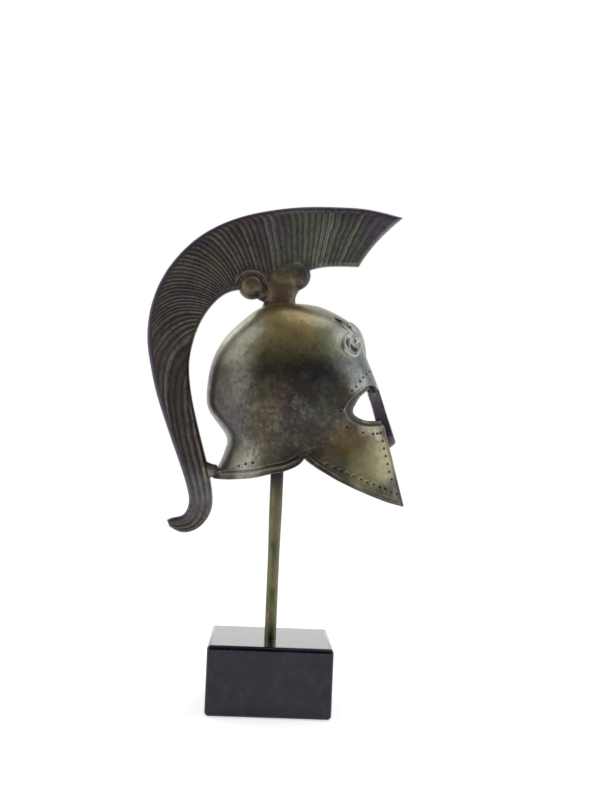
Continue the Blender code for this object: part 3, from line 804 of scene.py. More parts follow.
def moved(chart, depth, move):
    """Chart rows after a small move in space along the wall."""
    step = 1e-4
    turn, place = chart.T
    here = skin(turn, place, depth)[0]
    by_turn = (skin(turn + step, place, depth)[0] - here) / step
    by_place = (skin(turn, place + step, depth)[0] - here) / step
    aa, ab, bb = ((by_turn**2).sum(1), (by_turn * by_place).sum(1), (by_place**2).sum(1))
    am, bm = (by_turn * move).sum(1), (by_place * move).sum(1)
    low = aa * bb - ab * ab
    return np.stack([turn + (am * bb - bm * ab) / low, place + (bm * aa - am * ab) / low], axis=1)


def pulled_back(chart, depth, reach):
    """Chart rows of an edge moved onto the sheet, away from the opening."""
    longer = np.vstack([chart[1] * (-1, 1), chart, (-2 * math.pi, 0) + chart[-2] * (-1, 1)])
    places, normals = skin(*longer.T, np.concatenate([depth[:1], depth, depth[-1:]]))
    inward = unit(np.cross(places[2:] - places[:-2], normals[1:-1]))
    back = moved(chart, depth, inward * reach)
    back[0, 0], back[-1, 0] = 0.0, -math.pi
    return back


def hole_rows(depth):
    """Chart rows round the hole for the rod, from the back to the face."""
    turn = np.linspace(-math.pi, 0, HOLE_STEPS)
    fine = np.linspace(*HOLE_SEARCH)
    grid_turn, grid_place = np.meshgrid(turn, fine, indexing="ij")
    places, _ = skin(grid_turn.ravel(), grid_place.ravel(), depth)
    reach = np.hypot(places[:, 0], places[:, 1]).reshape(grid_turn.shape)
    return np.array([(a, np.interp(ROD_HOLE, row, fine)) for a, row in zip(turn, reach)])


def chart_grid(step):
    """Chart rows of a triangular grid over the whole near half."""
    rows = []
    places = np.arange(GRID_FROM, len(SECTIONS) - 1, GRID_ROW * step / PLACE_SCALE)
    for number, place in enumerate(places):
        gap = step / np.interp(place, range(len(METRES_A_TURN)), METRES_A_TURN)
        turn = np.arange(-math.pi + gap * (0.5 + 0.5 * (number % 2)), -GRID_END * gap, gap)
        rows.append(np.column_stack([turn, np.full(len(turn), place)]))
    return np.vstack(rows)


def inside_loop(points, loop):
    """Whether points of the plane are inside a closed loop."""
    inside = np.zeros(len(points), bool)
    for (x0, y0), (x1, y1) in zip(loop, np.roll(loop, -1, axis=0)):
        if y0 == y1:
            continue
        between = (points[:, 1] > min(y0, y1)) & (points[:, 1] <= max(y0, y1))
        cross = x0 + (points[:, 1] - y0) * (x1 - x0) / (y1 - y0)
        inside ^= between & (points[:, 0] < cross)
    return inside


def nearness(points, targets):
    """Distance from each point to the nearest of the targets."""
    tree = kdtree.KDTree(len(targets))
    for k, target in enumerate(targets):
        tree.insert(target, k)
    tree.balance()
    return np.array([tree.find(point)[2] for point in points])


def filled(loop, inner):
    """Triangles over a closed loop and the points inside it, as index triples."""
    edges = [(k, (k + 1) % len(loop)) for k in range(len(loop))]
    flat = [Vector(point) for point in np.vstack([loop, inner])]
    verts, _, faces, origins, _, _ = delaunay_2d_cdt(flat, edges, [], 1, TINY)
    if len(verts) != sum(len(origin) for origin in origins):
        raise ValueError("the sheet's edge crosses itself")
    return np.array([[origins[k][0] for k in face] for face in faces])


def strip(first, second):
    """Triangles between two rows of indices."""
    quads = np.stack([first[:-1], first[1:], second[1:], second[:-1]], axis=1)
    return np.vstack([quads[:, [0, 1, 2]], quads[:, [0, 2, 3]]])


def curve_between(start, corner, end, steps):
    """Points on the bend from start to end round a corner, the ends left out."""
    shares = np.arange(1, steps) / steps
    return [start * (1 - t) ** 2 + corner * 2 * t * (1 - t) + end * t * t for t in shares]


def nose_depth(rows):
    """Depth of the wall's inside, thicker behind the nose guard."""
    places, _ = skin(*rows.T)
    share = smooth(ramp(places[:, 2], *NOSE_THICK_DOWN)) * smooth(ramp(-places[:, 1], *NOSE_THICK_ACROSS))
    return WALL + (NOSE_DEPTH - WALL) * share


def side_of_wall(row, row_depth, wall, levels, finer_near=()):
    """(points, normals, triangles, indices round the rod's hole) of one side of the wall.

    Its first points are the row along its edge. Each of the levels is a grid step and how
    far past the reach of finer_near's (points, reach) that grid begins.
    """
    hole = hole_rows(wall)
    back = spaced_between(row[-1], hole[0], wall, EDGE_STEP * 2)
    face = spaced_between(hole[-1], row[0], wall, EDGE_STEP)
    depth_of = nose_depth if wall else lambda rows: np.zeros(len(rows))
    loop = np.vstack([row, back, hole, face])
    loop_depth = np.concatenate([row_depth, np.full(len(back) + len(hole), wall), depth_of(face)])
    loop_places, loop_normals = skin(*loop.T, loop_depth)
    flat_loop = loop * CHART_SCALE
    kept = []
    finer = 1.0
    for step, beyond in levels:
        grid = chart_grid(step)
        grid = grid[inside_loop(grid * CHART_SCALE, flat_loop)]
        if finer_near:
            places, _ = skin(*grid.T)
            away = np.min([nearness(places, spots) - reach for spots, reach in finer_near], axis=0)
            grid = grid[(away >= beyond) & (away < finer)]
            finer = beyond
        kept.append(grid[nearness(skin(*grid.T, depth_of(grid))[0], loop_places) > GRID_CLEAR * step])
    inside = np.vstack(kept)
    places, normals = skin(*inside.T, depth_of(inside))
    triangles = filled(flat_loop, inside * CHART_SCALE)[:, :: -1 if wall else 1]
    hole_index = np.arange(len(hole)) + len(row) + len(back)
    return np.vstack([loop_places, places]), np.vstack([loop_normals, normals]), triangles, hole_index


def half_helmet(edge, finer_near):
    """Points, normals, triangles and marks of the near half, finer near the ornament.

    The marks are how far points stand out of the wall: the lids are dished, with a lip at
    their edge.
    """
    outer, inner, depth = edge[:, :2], edge[:, 2:4], edge[:, 4]
    flush = np.zeros(len(edge))
    outer_corner, outer_normal = skin(*outer.T)
    inner_corner, inner_normal = skin(*inner.T, depth)
    points, normals, fills, holes = map(list, zip(
        side_of_wall(pulled_back(outer, flush, EDGE_ROUND), flush, 0.0, OUTSIDE_GRIDS, finer_near),
        side_of_wall(pulled_back(inner, depth, INSIDE_ROUND), depth, WALL, INSIDE_GRIDS),
    ))
    inside_from = len(points[0])
    faces = [fills[0], fills[1] + inside_from, strip(holes[0], holes[1] + inside_from)]
    marks = [np.zeros(inside_from + len(points[1]))]
    edge_index = np.arange(len(edge))

    across = inner_corner - outer_corner
    width = np.linalg.norm(across, axis=1)[:, None]
    over = outer_corner + across * EDGE_ROUND / width
    under = inner_corner - across * INSIDE_ROUND / width
    facing = unit(np.cross(across, np.gradient(outer_corner, axis=0)))
    facing *= np.sign((facing * outer_normal).sum(axis=1))[:, None]
    on_lid = np.interp(edge[:, 5], *LID_STRETCHES)
    bend = curve_between(points[0][edge_index], outer_corner, over, EDGE_BEND_STEPS)
    rows = [(row, flush) for row in [*bend, over]]
    for share in BEVEL_SHARES:
        dish = DISH_DEPTH * math.exp(-(((share - DISH_AT) / DISH_WIDTH) ** 2))
        lip = LIP_HEIGHT * math.exp(-(((share - LIP_AT) / LIP_WIDTH) ** 2))
        mark = (lip - dish) * on_lid
        rows.append((over + (under - over) * share + facing * mark[:, None], mark))
    bend = curve_between(under, inner_corner, points[1][edge_index], INSIDE_BEND_STEPS)
    rows += [(row, flush) for row in [under, *bend]]
    previous = edge_index
    for k, (row, mark) in enumerate(rows):
        share = (k + 1) / (len(rows) + 1)
        index = edge_index + sum(map(len, points))
        points.append(row)
        normals.append(outer_normal * (1 - share) - inner_normal * share)
        marks.append(mark)
        faces.append(strip(previous, index))
        previous = index
    faces.append(strip(previous, edge_index + inside_from))
    return np.vstack(points), np.vstack(normals), np.vstack(faces), np.concatenate(marks)


class Recipe(Nodes):
    """A geometry node tree with named inputs, which moves the points of a shell."""

    def __init__(self, name, **inputs):
        super().__init__(bpy.data.node_groups.new(name, "GeometryNodeTree"))
        for label, kind in (("Geometry", "Geometry"), *inputs.items()):
            self.tree.interface.new_socket(label, in_out="INPUT", socket_type=f"NodeSocket{kind}")
        self.tree.interface.new_socket("Geometry", in_out="OUTPUT", socket_type="NodeSocketGeometry")
        self.given = self.node("NodeGroupInput").outputs

    def named(self, name, kind="FLOAT"):
        held = self.node("GeometryNodeInputNamedAttribute", {"Name": name}, data_type=kind)
        return held.outputs["Attribute"]

    def sampled(self, geometry, name, index):
        """Value of a named attribute at one point of another geometry."""
        inputs = {"Geometry": geometry, "Value": self.named(name), "Index": index}
        sample = self.node("GeometryNodeSampleIndex", inputs, data_type="FLOAT", domain="POINT")
        return sample.outputs["Value"]

    def near(self, target, kind):
        """(distance, index) of the nearest point or edge of the target from where a point was."""
        inputs = {"Geometry": target, "Sample Position": self.named("was", "FLOAT_VECTOR")}
        distance = self.node("GeometryNodeProximity", inputs, target_element=kind)
        nearest = self.node("GeometryNodeSampleNearest", inputs, domain="POINT")
        return distance.outputs["Distance"], nearest.outputs["Index"]

    def held(self, label):
        """Geometry of an object given to the modifier."""
        inputs = {"Object": self.given[label]}
        return self.node("GeometryNodeObjectInfo", inputs, transform_space="ORIGINAL").outputs["Geometry"]

    def swell(self, distance, half_width, rise):
        """Rise of a smooth mark whose height falls to nothing half_width away."""
        return self.times(self.fade(self.maths("DIVIDE", distance, half_width), 1.0, 0.0), rise)

    def raise_by(self, rise):
        """Move the points along shell_normal, note the rise in the attribute mark, and end the tree."""
        normal = self.named("shell_normal", "FLOAT_VECTOR")
        offset = self.node("ShaderNodeVectorMath", {0: normal, "Scale": rise}, operation="SCALE").outputs[0]
        mark = {"Name": "mark", "Value": self.plus(self.named("mark"), rise)}
        flow = self.given["Geometry"]
        for kind, inputs, settings in (
            ("SetPosition", {"Offset": offset}, {}),
            ("StoreNamedAttribute", mark, {"data_type": "FLOAT", "domain": "POINT"}),
            ("RealizeInstances", {}, {}),
            ("SetMaterial", {"Material": self.given["Material"]}, {}),
        ):
            step = self.node(f"GeometryNode{kind}", {"Geometry": flow, **inputs}, **settings)
            flow = step.outputs["Geometry"]
        self.node("NodeGroupOutput", {"Geometry": flow})

    def put_on(self, obj, **values):
        """Add this tree to an object as a modifier, its inputs set by their identifiers."""
        modifier = obj.modifiers.new(self.tree.name, "NODES")
        modifier.node_group = self.tree
        for item in self.tree.interface.items_tree:
            if item.in_out == "INPUT" and item.name in values:
                modifier[item.identifier] = values[item.name]


def lips_recipe():
    """Beads and grooves that run round a sheet at set distances from its edge."""
    lips = Recipe("lips", Edge="Object", Material="Material")
    edge = lips.held("Edge")
    distance, index = lips.near(edge, "EDGES")
    total = 0.0
    for number in range(LIPS):
        at, half, rise = (lips.sampled(edge, f"{size}_{number}", index) for size in LIP_SIZES)
        total = lips.plus(lips.swell(lips.maths("ABSOLUTE", lips.minus(distance, at)), half, rise), total)
    lips.raise_by(total)
    return lips


def marks_recipe():
    """Raised or pressed marks along rows of points, each with its half_width and rise."""
    marks = Recipe("marks", Marks="Object", Material="Material")
    points = marks.held("Marks")
    distance, index = marks.near(points, "POINTS")
    half, rise = (marks.sampled(points, size, index) for size in ("half_width", "rise"))
    marks.raise_by(marks.swell(distance, half, rise))
    return marks


def edge_object(edge):
    """The sheet's edge as a line whose points carry the sizes of the lips beside them."""
    places, _ = skin(edge[:, 0], edge[:, 1])
    on_hem = edge[:, 5] > HEM_STRETCH - 0.5
    stretch = np.where(on_hem & (places[:, 0] < NOTCH_X), HEM_STRETCH + 1, np.round(edge[:, 5])).astype(int)
    sizes = MM * np.array([np.ravel(row) for _, row in LIP_ROWS])[stretch]
    beside = np.where(on_hem, ramp(np.abs(places[:, 0] - NOTCH_X), *NOTCH_PLAIN), 1.0)
    sizes[:, 2::3] *= (NOTCH_SHARE + (1 - NOTCH_SHARE) * beside)[:, None]
    spread = LIP_BLEND / EDGE_STEP
    reach = round(3 * spread)
    blended = blurred(np.pad(sizes, ((reach, reach), (0, 0)), mode="edge"), reach, spread)
    labels = [f"{size}_{number}" for number in range(LIPS) for size in LIP_SIZES]
    links = [(k, k + 1) for k in range(len(places) - 1)]
    return mesh_object("edge_line", places, edges=links, **dict(zip(labels, blended.T)))


def line_marks(lines):
    """Points, half widths and rises of marks along lines of (view, half, rise, rows)."""
    points, halves, rises = [], [], []
    for view, half, rise, rows in lines:
        span = np.linalg.norm(np.diff(rows, axis=0), axis=1).sum()
        fine = spline_run(rows, max(int(span / MARK_STEP), 2))
        places, _ = skin(*chart_of(view, *fine.T).T)
        taper = np.sqrt(np.sin(np.linspace(MARK_END, math.pi - MARK_END, len(places))))
        points.append(places)
        halves.append(half * taper)
        rises.append(rise * taper)
    return np.vstack(points), np.concatenate(halves), np.concatenate(rises)


def punched():
    """Points, half widths and rises of the punched dots, in the rows listed."""
    chance = np.random.default_rng(PUNCH_SEED)
    points = []
    for view, count, rows in PUNCH_ROWS:
        even = evenly(chart_of(view, *spline_run(rows, FINE_ROWS).T), count)
        wander = chance.normal(0, PUNCH_WANDER, (count, 3))
        wander[np.abs(np.sin(even[:, 0])) < ON_MIDLINE] = 0.0
        points.append(skin(*moved(even, np.zeros(count), wander).T)[0])
    points = np.vstack(points)
    return points, np.full(len(points), PUNCH_HALF), np.full(len(points), -PUNCH_DEPTH)


def helmet_bronze():
    bronze = Finish("helmet_bronze")
    _, y, z = bronze.parts(bronze.place)
    mark = bronze.attribute("mark")
    blots = bronze.noise(0.0060, 6, 0.68)
    mottle = bronze.noise(0.0022, 5, 0.65, distortion=0.5)
    grains = bronze.noise(0.0009, 3, 0.6)
    ragged = bronze.ragged(0.010, 0.0080)
    crown = bronze.mix(bronze.fade(z, 0.146, 0.166), (0.050, 0.042, 0.028), (0.400, 0.322, 0.142))
    on_nose = bronze.times(
        bronze.fade(bronze.maths("ABSOLUTE", y), 0.0066, 0.0054), bronze.fade(z, 0.1415, 0.1400)
    )
    worked = bronze.patch(ragged, (4, 27, 132), 40, 0.55)
    pale = bronze.plus(worked, 0.18)
    light = bronze.fade(bronze.noise(0.0050, 6, 0.7), 0.47, 0.72, 0.0, 0.8)
    pits = bronze.fade(bronze.noise(0.0013, 4, 0.7), 0.46, 0.36)
    colour = bronze.coats(
        # Patina patches, among them painted highlights, reflections and shade.
        bronze.patched(crown, ragged, PATINA_AND_PAINTED_LIGHT),
        (bronze.times(on_nose, 0.92), (0.088, 0.070, 0.098)),
        (bronze.times(pale, bronze.fade(blots, 0.50, 0.40)), (0.036, 0.023, 0.018)),
        (bronze.times(pale, light), (0.155, 0.148, 0.078)),
        (bronze.times(pale, bronze.fade(mottle, 0.52, 0.36)), (0.030, 0.025, 0.028)),
        (bronze.times(worked, pits), (0.018, 0.014, 0.016)),
        (bronze.fade(mottle, 0.50, 0.72, 0.0, 0.30), (0.240, 0.220, 0.190)),
        (bronze.fade(mark, -0.00004, -0.00036, 0.0, 0.90), (0.014, 0.012, 0.010)),
        (bronze.fade(mark, 0.00008, 0.00070, 0.0, 0.80), (0.430, 0.420, 0.390)),
        (bronze.fade(grains, 0.56, 0.74, 0.0, 0.25), (0.030, 0.025, 0.022)),
    )
    grime = bronze.fade(mark, -0.00005, -0.0004, 0.0, 0.25)
    dull = bronze.plus(bronze.fade(mottle, 0.35, 0.65, 0.42, 0.28), grime)
    bronze.fill(bronze.shader, {"Base Color": colour, "Metallic": 0.72, "Roughness": dull})
    bronze.fill(bronze.shader, {"Coat Weight": WAX_WEIGHT, "Coat Roughness": WAX_ROUGHNESS})
    bronze.bump(bronze.noise(0.0045, 3), 0.00022, 0.5)
    bronze.bump(grains, 0.00003, 0.6)
    return bronze.material


def mirrored(obj, name, *labels):
    """Object of obj's evaluated mesh and its reflection in y = 0, joined where they meet."""
    mesh = evaluated_mesh(obj)
    near = np.empty((len(mesh.vertices), 3))
    mesh.vertices.foreach_get("co", near.ravel())
    faces = np.empty((len(mesh.polygons), mesh.polygons[0].loop_total), int)
    mesh.loops.foreach_get("vertex_index", faces.ravel())
    values = {label: np.empty(len(near)) for label in labels}
    for label, held in values.items():
        mesh.attributes[label].data.foreach_get("value", held)
    bpy.data.meshes.remove(mesh)
    off_middle = np.abs(near[:, 1]) >= MIRROR_JOIN
    near[~off_middle, 1] = 0.0
    far_index = np.arange(len(near))
    far_index[off_middle] = len(near) + np.arange(off_middle.sum())
    both = np.vstack([near, near[off_middle] * (1, -1, 1)])
    joined = {label: np.concatenate([held, held[off_middle]]) for label, held in values.items()}
    return mesh_object(name, both, np.vstack([faces, far_index[faces][:, ::-1]]), **joined)


helmet_edge = eased_and_spaced(opening_edges())
edge_places, _ = skin(helmet_edge[:, 0], helmet_edge[:, 1])
stamps = [line_marks(RAISED_LINES), line_marks(HOLLOW_LINES), punched()]
finer_near = [(edge_places[helmet_edge[:, 5] > LIPS_FROM], LIP_REACH)]
finer_near += [(spots, MARK_REACH) for spots, _, _ in stamps]
points, normals, triangles, marks = half_helmet(helmet_edge, finer_near)
# The nose guard's tip is filed back to a round end.
front = spline(SECTIONS, place_at(points[:, 2]))[:, 2]
nose_low = NOSE[:, 1].min()
at_front = ramp(front - points[:, 0], TIP_DEPTH, 0.0)
at_tip = ramp(points[:, 2], nose_low + TIP_HEIGHT, nose_low)
on_nose = (np.abs(points[:, 1]) < NOSE_REACH) & (points[:, 2] > nose_low - TIP_HEIGHT)
points[:, 0] -= np.where(on_nose, TIP_SETBACK * at_front * at_tip**2, 0.0)
half = mesh_object("half_helmet", points, triangles, was=points, shell_normal=normals, mark=marks)
helmet_material = helmet_bronze()
helpers = [edge_object(helmet_edge)]
lips_recipe().put_on(half, Edge=helpers[0], Material=helmet_material)
press = marks_recipe()
for spots, half_widths, rises in stamps:
    helpers.append(mesh_object("stamp", spots, half_width=half_widths, rise=rises))
    press.put_on(half, Marks=helpers[-1], Material=helmet_material)
helmet = finished(mirrored(half, "whole_helmet", "mark"), "helmet_sheet", helmet_material)
for helper in helpers:
    bpy.data.objects.remove(helper, do_unlink=True)
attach(helmet, "root")
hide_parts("helmet")


# ---------------------------------------------------------------------------------
# Crest. A flat bronze casting like a horse's mane, its locks cut on both faces, with a
# plain band along the back edge. Its tail runs down behind the neck.

CREST_HALF = 0.0027
CREST_TAIL_HALF = 0.0021
THIN_FROM = 9
THIN_TO = 18
FRONT_BOW = 0.0018
CREST_EDGE_ROUND = 0.0015
STATIONS = np.array((
    # inner x, inner z, outer x, outer z
    (0.0328, 0.1968, 0.0519, 0.2199),
    (0.0240, 0.1966, 0.0365, 0.2229),
    (0.0150, 0.1955, 0.0222, 0.22336),
    (0.0050, 0.1920, 0.0070, 0.2227),
    (-0.0060, 0.1880, -0.0090, 0.2202),
    (-0.0160, 0.1848, -0.0240, 0.2158),
    (-0.0240, 0.1831, -0.0380, 0.2082),
    (-0.0305, 0.1786, -0.0485, 0.1981),
    (-0.0360, 0.1708, -0.0555, 0.1870),
    (-0.0394, 0.1620, -0.0597, 0.1737),
    (-0.0411, 0.1530, -0.06045, 0.1605),
    (-0.0410, 0.1450, -0.0588, 0.1500),
    (-0.0395, 0.1355, -0.0560, 0.1385),
    (-0.0368, 0.1247, -0.0520, 0.1268),
    (-0.0335, 0.1133, -0.0476, 0.1154),
    (-0.0305, 0.1030, -0.0433, 0.1046),
    (-0.0287, 0.0942, -0.0399, 0.0948),
    (-0.0284, 0.0863, -0.0388, 0.0885),
    (-0.0315, 0.0795, -0.0402, 0.0838),
    (-0.0365, 0.0756, -0.0430, 0.0819),
    (-0.0420, 0.0749, -0.0459, 0.0812),
    (-0.0470, 0.0772, -0.0482, 0.0801),
))
LAST_STATION = len(STATIONS) - 1
TAIL_TURN = 15.4
LOCKS = (
    # where lines leave the lower edge, where they have turned, how far out, locks since the row above
    (0.00, 0.00, 1.00, 0),
    (2.00, 2.15, 1.00, 8.5),
    (4.00, 4.40, 1.00, 11),
    (5.50, 6.40, 1.00, 10),
    (6.50, 8.10, 1.00, 8),
    (7.20, 9.40, 1.00, 6),
    (7.80, 10.60, 1.00, 5),
    (8.30, 12.40, 1.00, 3),
    (8.80, TAIL_TURN, 1.00, 2),
    (9.90, TAIL_TURN, 0.74, 1.5),
    (10.60, TAIL_TURN, 0.50, 1),
    (11.30, TAIL_TURN, 0.26, 1),
    (12.00, TAIL_TURN, 0.00, 1),
)
LINES_PER_LOCK = 8
CROSS_STEPS = 46
TAIL_STEPS = 60
LINE_LEAN = 1.2
LINE_SWEEP = 1.5
RIDGE_HEIGHT = 0.0007
FURROW_DEPTH = 0.0004
PLAIN_BAND = (0.0018, 0.0030)
RIM_WELD = 2e-6
OUTLINE_STEPS = 6000
END_STEPS = 600
# Where the locks grow fainter: at the front, at the edge, down the tail, and where they are fine.
FRONT_LOCKS = (1.5, 4.5)
EDGE_FADE = 0.0012
TAIL_FLATTER = (13, 19)
TAIL_LOSS = 0.55
FINE_LOCK = 35
FINE_SPREAD = 11
FINE_LOSS = 0.68
COMB_SEED = 4
WAVER = 0.55
LEAST_RIDGE = 0.35
RIDGE_FULLNESS = 1.5
HAIR_HEIGHT = 0.00012
TARNISH_AND_PAINTED_LIGHT = (
    # patches of the crest's colour, a few of them painted shade and highlight on the scrolls: centre as x,
    # |y| and height in mm, reach in mm, share, colour
    ((8, 3, 208), 22, 0.85, (0.190, 0.225, 0.160)),
    ((25, 3, 210), 16, 0.80, (0.180, 0.200, 0.160)),
    ((-6, 3, 213), 13, 0.65, (0.150, 0.120, 0.150)),
    ((-30, 3, 196), 12, 0.45, (0.080, 0.085, 0.055)),
    ((42, 3, 214), 13, 0.85, (0.140, 0.115, 0.175)),
    ((-2, 3, 192), 11, 0.70, (0.110, 0.075, 0.045)),
    ((-2, 5, 184), 10, 0.90, (0.150, 0.095, 0.050)),
    ((-16, 5, 187), 8, 0.90, (0.150, 0.115, 0.052)),
    # painted shade on the left scroll's right side, in the crease by the stem
    ((-9, 5, 186), 4, 0.90, (0.030, 0.020, 0.026)),
    # olive colour with a painted highlight on the left of the right scroll
    ((0, 5, 190), 7, 0.85, (0.165, 0.140, 0.065)),
    # dark violet tarnish with painted shade on the right scroll's right side
    ((11, 4, 192), 8, 0.95, (0.028, 0.020, 0.036)),
    ((-38, 3, 92), 16, 0.80, (0.200, 0.195, 0.195)),
    ((-29, 2, 102), 6, 0.90, (0.230, 0.230, 0.170)),
)


def crest_places(station, out):
    """Places on the crest's middle plane, out from its lower edge 0 to its upper edge 1."""
    inner_x, inner_z, outer_x, outer_z = spline(STATIONS, station).T
    bow = FRONT_BOW * np.exp(-station) * 4 * out * (1 - out)
    x = inner_x + (outer_x - inner_x) * out - bow
    return np.stack([x, np.zeros(len(x)), inner_z + (outer_z - inner_z) * out], axis=1)


def crest_lattice():
    """Rows (station, out, lock number) and faces of the crest's near side.

    Lines leave the lower edge, lean towards the tail and run out to the upper edge, or
    down the tail to its tip.
    """
    lines = [(0.0, *LOCKS[0][:3])]
    for before, after in zip(LOCKS, LOCKS[1:]):
        number = lines[-1][0]
        count = round(after[3] * LINES_PER_LOCK)
        for t in np.arange(1, count + 1) / count:
            between = (a * (1 - t) + b * t for a, b in zip(before[:3], after[:3]))
            lines.append((number + after[3] * t, *between))
    even = np.linspace(0, 1, CROSS_STEPS + 1)
    share = (even + 0.5 - 0.5 * np.cos(math.pi * even)) / 2
    down = np.linspace(0, 1, TAIL_STEPS + 1)[1:]
    rows, faces = [], []
    previous = None
    start = 0
    for lock, root, turn, full_out in lines:
        station = root + (turn - root) * share**LINE_LEAN
        out = full_out * (1 - (1 - share) ** LINE_SWEEP)
        if math.isclose(turn, TAIL_TURN):
            station = np.concatenate([station, turn + (LAST_STATION - turn) * down])
            out = np.concatenate([out, np.full(TAIL_STEPS, full_out)])
        rows.append(np.stack([station, out, np.full(len(station), lock)], axis=1))
        index = start + np.arange(len(station))
        start += len(station)
        if previous is not None:
            shared = min(len(previous), len(index))
            a, b = previous[:shared], index[:shared]
            faces.append(np.stack([a[:-1], a[1:], b[1:], b[:-1]], axis=1))
        previous = index
    return np.vstack(rows), np.vstack(faces)


def comb_recipe():
    """Locks of hair: a rounded ridge for each, of uneven height, wandering a little."""
    comb = Recipe("comb", Height="Float", Furrow="Float", Seed="Int", Material="Material")
    comb.place = comb.node("GeometryNodeInputPosition").outputs["Position"]
    lock = comb.plus(comb.named("lock"), comb.times(comb.minus(comb.noise(0.008, 2), 0.5), WAVER))
    across = comb.maths("ABSOLUTE", comb.minus(comb.times(comb.maths("FRACT", lock), 2.0), 1.0))
    ridge = comb.minus(1.0, comb.maths("POWER", across, RIDGE_FULLNESS))
    chance = {2: LEAST_RIDGE, 3: 1.0, "ID": comb.maths("FLOOR", lock), "Seed": comb.given["Seed"]}
    pick = comb.node("FunctionNodeRandomValue", chance, data_type="FLOAT").outputs[1]
    tall = comb.times(comb.times(ridge, pick), comb.given["Height"])
    rough = comb.times(comb.minus(comb.noise(0.0006, 2), 0.5), HAIR_HEIGHT)
    cut = comb.minus(comb.plus(tall, rough), comb.given["Furrow"])
    comb.raise_by(comb.times(cut, comb.named("fade")))
    return comb


def crest_bronze():
    bronze = Finish("crest_bronze")
    mark = bronze.attribute("mark")
    clouds = bronze.noise(0.011, 5, 0.6)
    blots = bronze.noise(0.0032, 5, 0.65)
    grains = bronze.noise(0.0008, 3, 0.65)
    stains = bronze.noise(0.0016, 5, 0.7)
    plain = bronze.mix(bronze.fade(clouds, 0.38, 0.64), (0.056, 0.040, 0.045), (0.096, 0.072, 0.058))
    rubbed = bronze.times(bronze.fade(mark, -0.00010, 0.00025, 0.0, 0.65), bronze.fade(stains, 0.40, 0.60))
    colour = bronze.coats(
        # Tarnish patches, among them painted shade and highlight on the scrolls.
        bronze.patched(plain, bronze.ragged(0.008, 0.0045), TARNISH_AND_PAINTED_LIGHT),
        (bronze.fade(blots, 0.48, 0.68, 0.0, 0.6), (0.085, 0.078, 0.045)),
        (bronze.fade(stains, 0.50, 0.34, 0.0, 0.65), (0.024, 0.018, 0.024)),
        (rubbed, (0.155, 0.155, 0.120)),
        (bronze.fade(mark, 0.00002, -0.00034, 0.0, 0.72), (0.022, 0.018, 0.020)),
        (bronze.times(bronze.attribute("band"), 0.6), (0.052, 0.043, 0.085)),
        (bronze.fade(grains, 0.58, 0.72, 0.0, 0.45), (0.030, 0.026, 0.026)),
    )
    grime = bronze.fade(mark, -0.0001, -0.0004, 0.0, 0.3)
    dull = bronze.plus(bronze.fade(stains, 0.3, 0.7, 0.52, 0.36), grime)
    bronze.fill(bronze.shader, {"Base Color": colour, "Metallic": 0.65, "Roughness": dull})
    bronze.fill(bronze.shader, {"Coat Weight": 0.25, "Coat Roughness": 0.30})
    bronze.bump(blots, 0.00018, 0.5)
    bronze.bump(grains, 0.00006, 0.7)
    return bronze.material


crest_material = crest_bronze()
lattice, lattice_faces = crest_lattice()
station, out, lock = lattice.T
flat = crest_places(station, out)
along = np.linspace(0, LAST_STATION, OUTLINE_STEPS)
across = np.linspace(0, 1, END_STEPS)
ends = (crest_places(0.0, across), crest_places(float(LAST_STATION), across))
to_outer = nearness(flat, crest_places(along, 1.0))
to_edge = np.minimum(to_outer, nearness(flat, np.vstack([crest_places(along, 0.0), *ends])))
sides = np.sort(np.vstack([lattice_faces[:, [k, (k + 1) % 4]] for k in range(4)]), axis=1)
pairs, uses = np.unique(sides, axis=0, return_counts=True)
to_edge[pairs[uses == 1].ravel()] = 0.0
half_thick = CREST_HALF + (CREST_TAIL_HALF - CREST_HALF) * ramp(station, THIN_FROM, THIN_TO)
bend = ramp(to_edge, 0.0, CREST_EDGE_ROUND)
flat[:, 1] = -half_thick * np.sqrt(1 - (1 - bend) ** 2)
off_band = ramp(to_outer, *PLAIN_BAND)
fade = off_band * ramp(lock, *FRONT_LOCKS) * ramp(to_edge, 0.0, EDGE_FADE)
fade *= 1 - TAIL_LOSS * ramp(station, *TAIL_FLATTER)
fade *= 1 - FINE_LOSS * np.exp(-(((lock - FINE_LOCK) / FINE_SPREAD) ** 2))
half_crest = mesh_object(
    "half_crest",
    flat,
    lattice_faces,
    shell_normal=np.tile((0.0, -1.0, 0.0), (len(flat), 1)),
    lock=lock,
    fade=fade,
    band=1 - off_band,
    mark=np.zeros(len(flat)),
)
comb = comb_recipe()
comb.put_on(half_crest, Height=RIDGE_HEIGHT, Furrow=FURROW_DEPTH, Seed=COMB_SEED, Material=crest_material)
whole_crest = mirrored(half_crest, "whole_crest", "mark", "band")
modified(whole_crest, "WELD", merge_threshold=RIM_WELD)
crest = finished(whole_crest, "crest_plate", crest_material, smooth_angle=70)
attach(crest, "root")


# ---------------------------------------------------------------------------------
# Crest holder, cast in one with the crest. A stem whose foot spreads over the crown,
# with a rolled scroll on each side, and a lug that ties the tail to the neck guard.

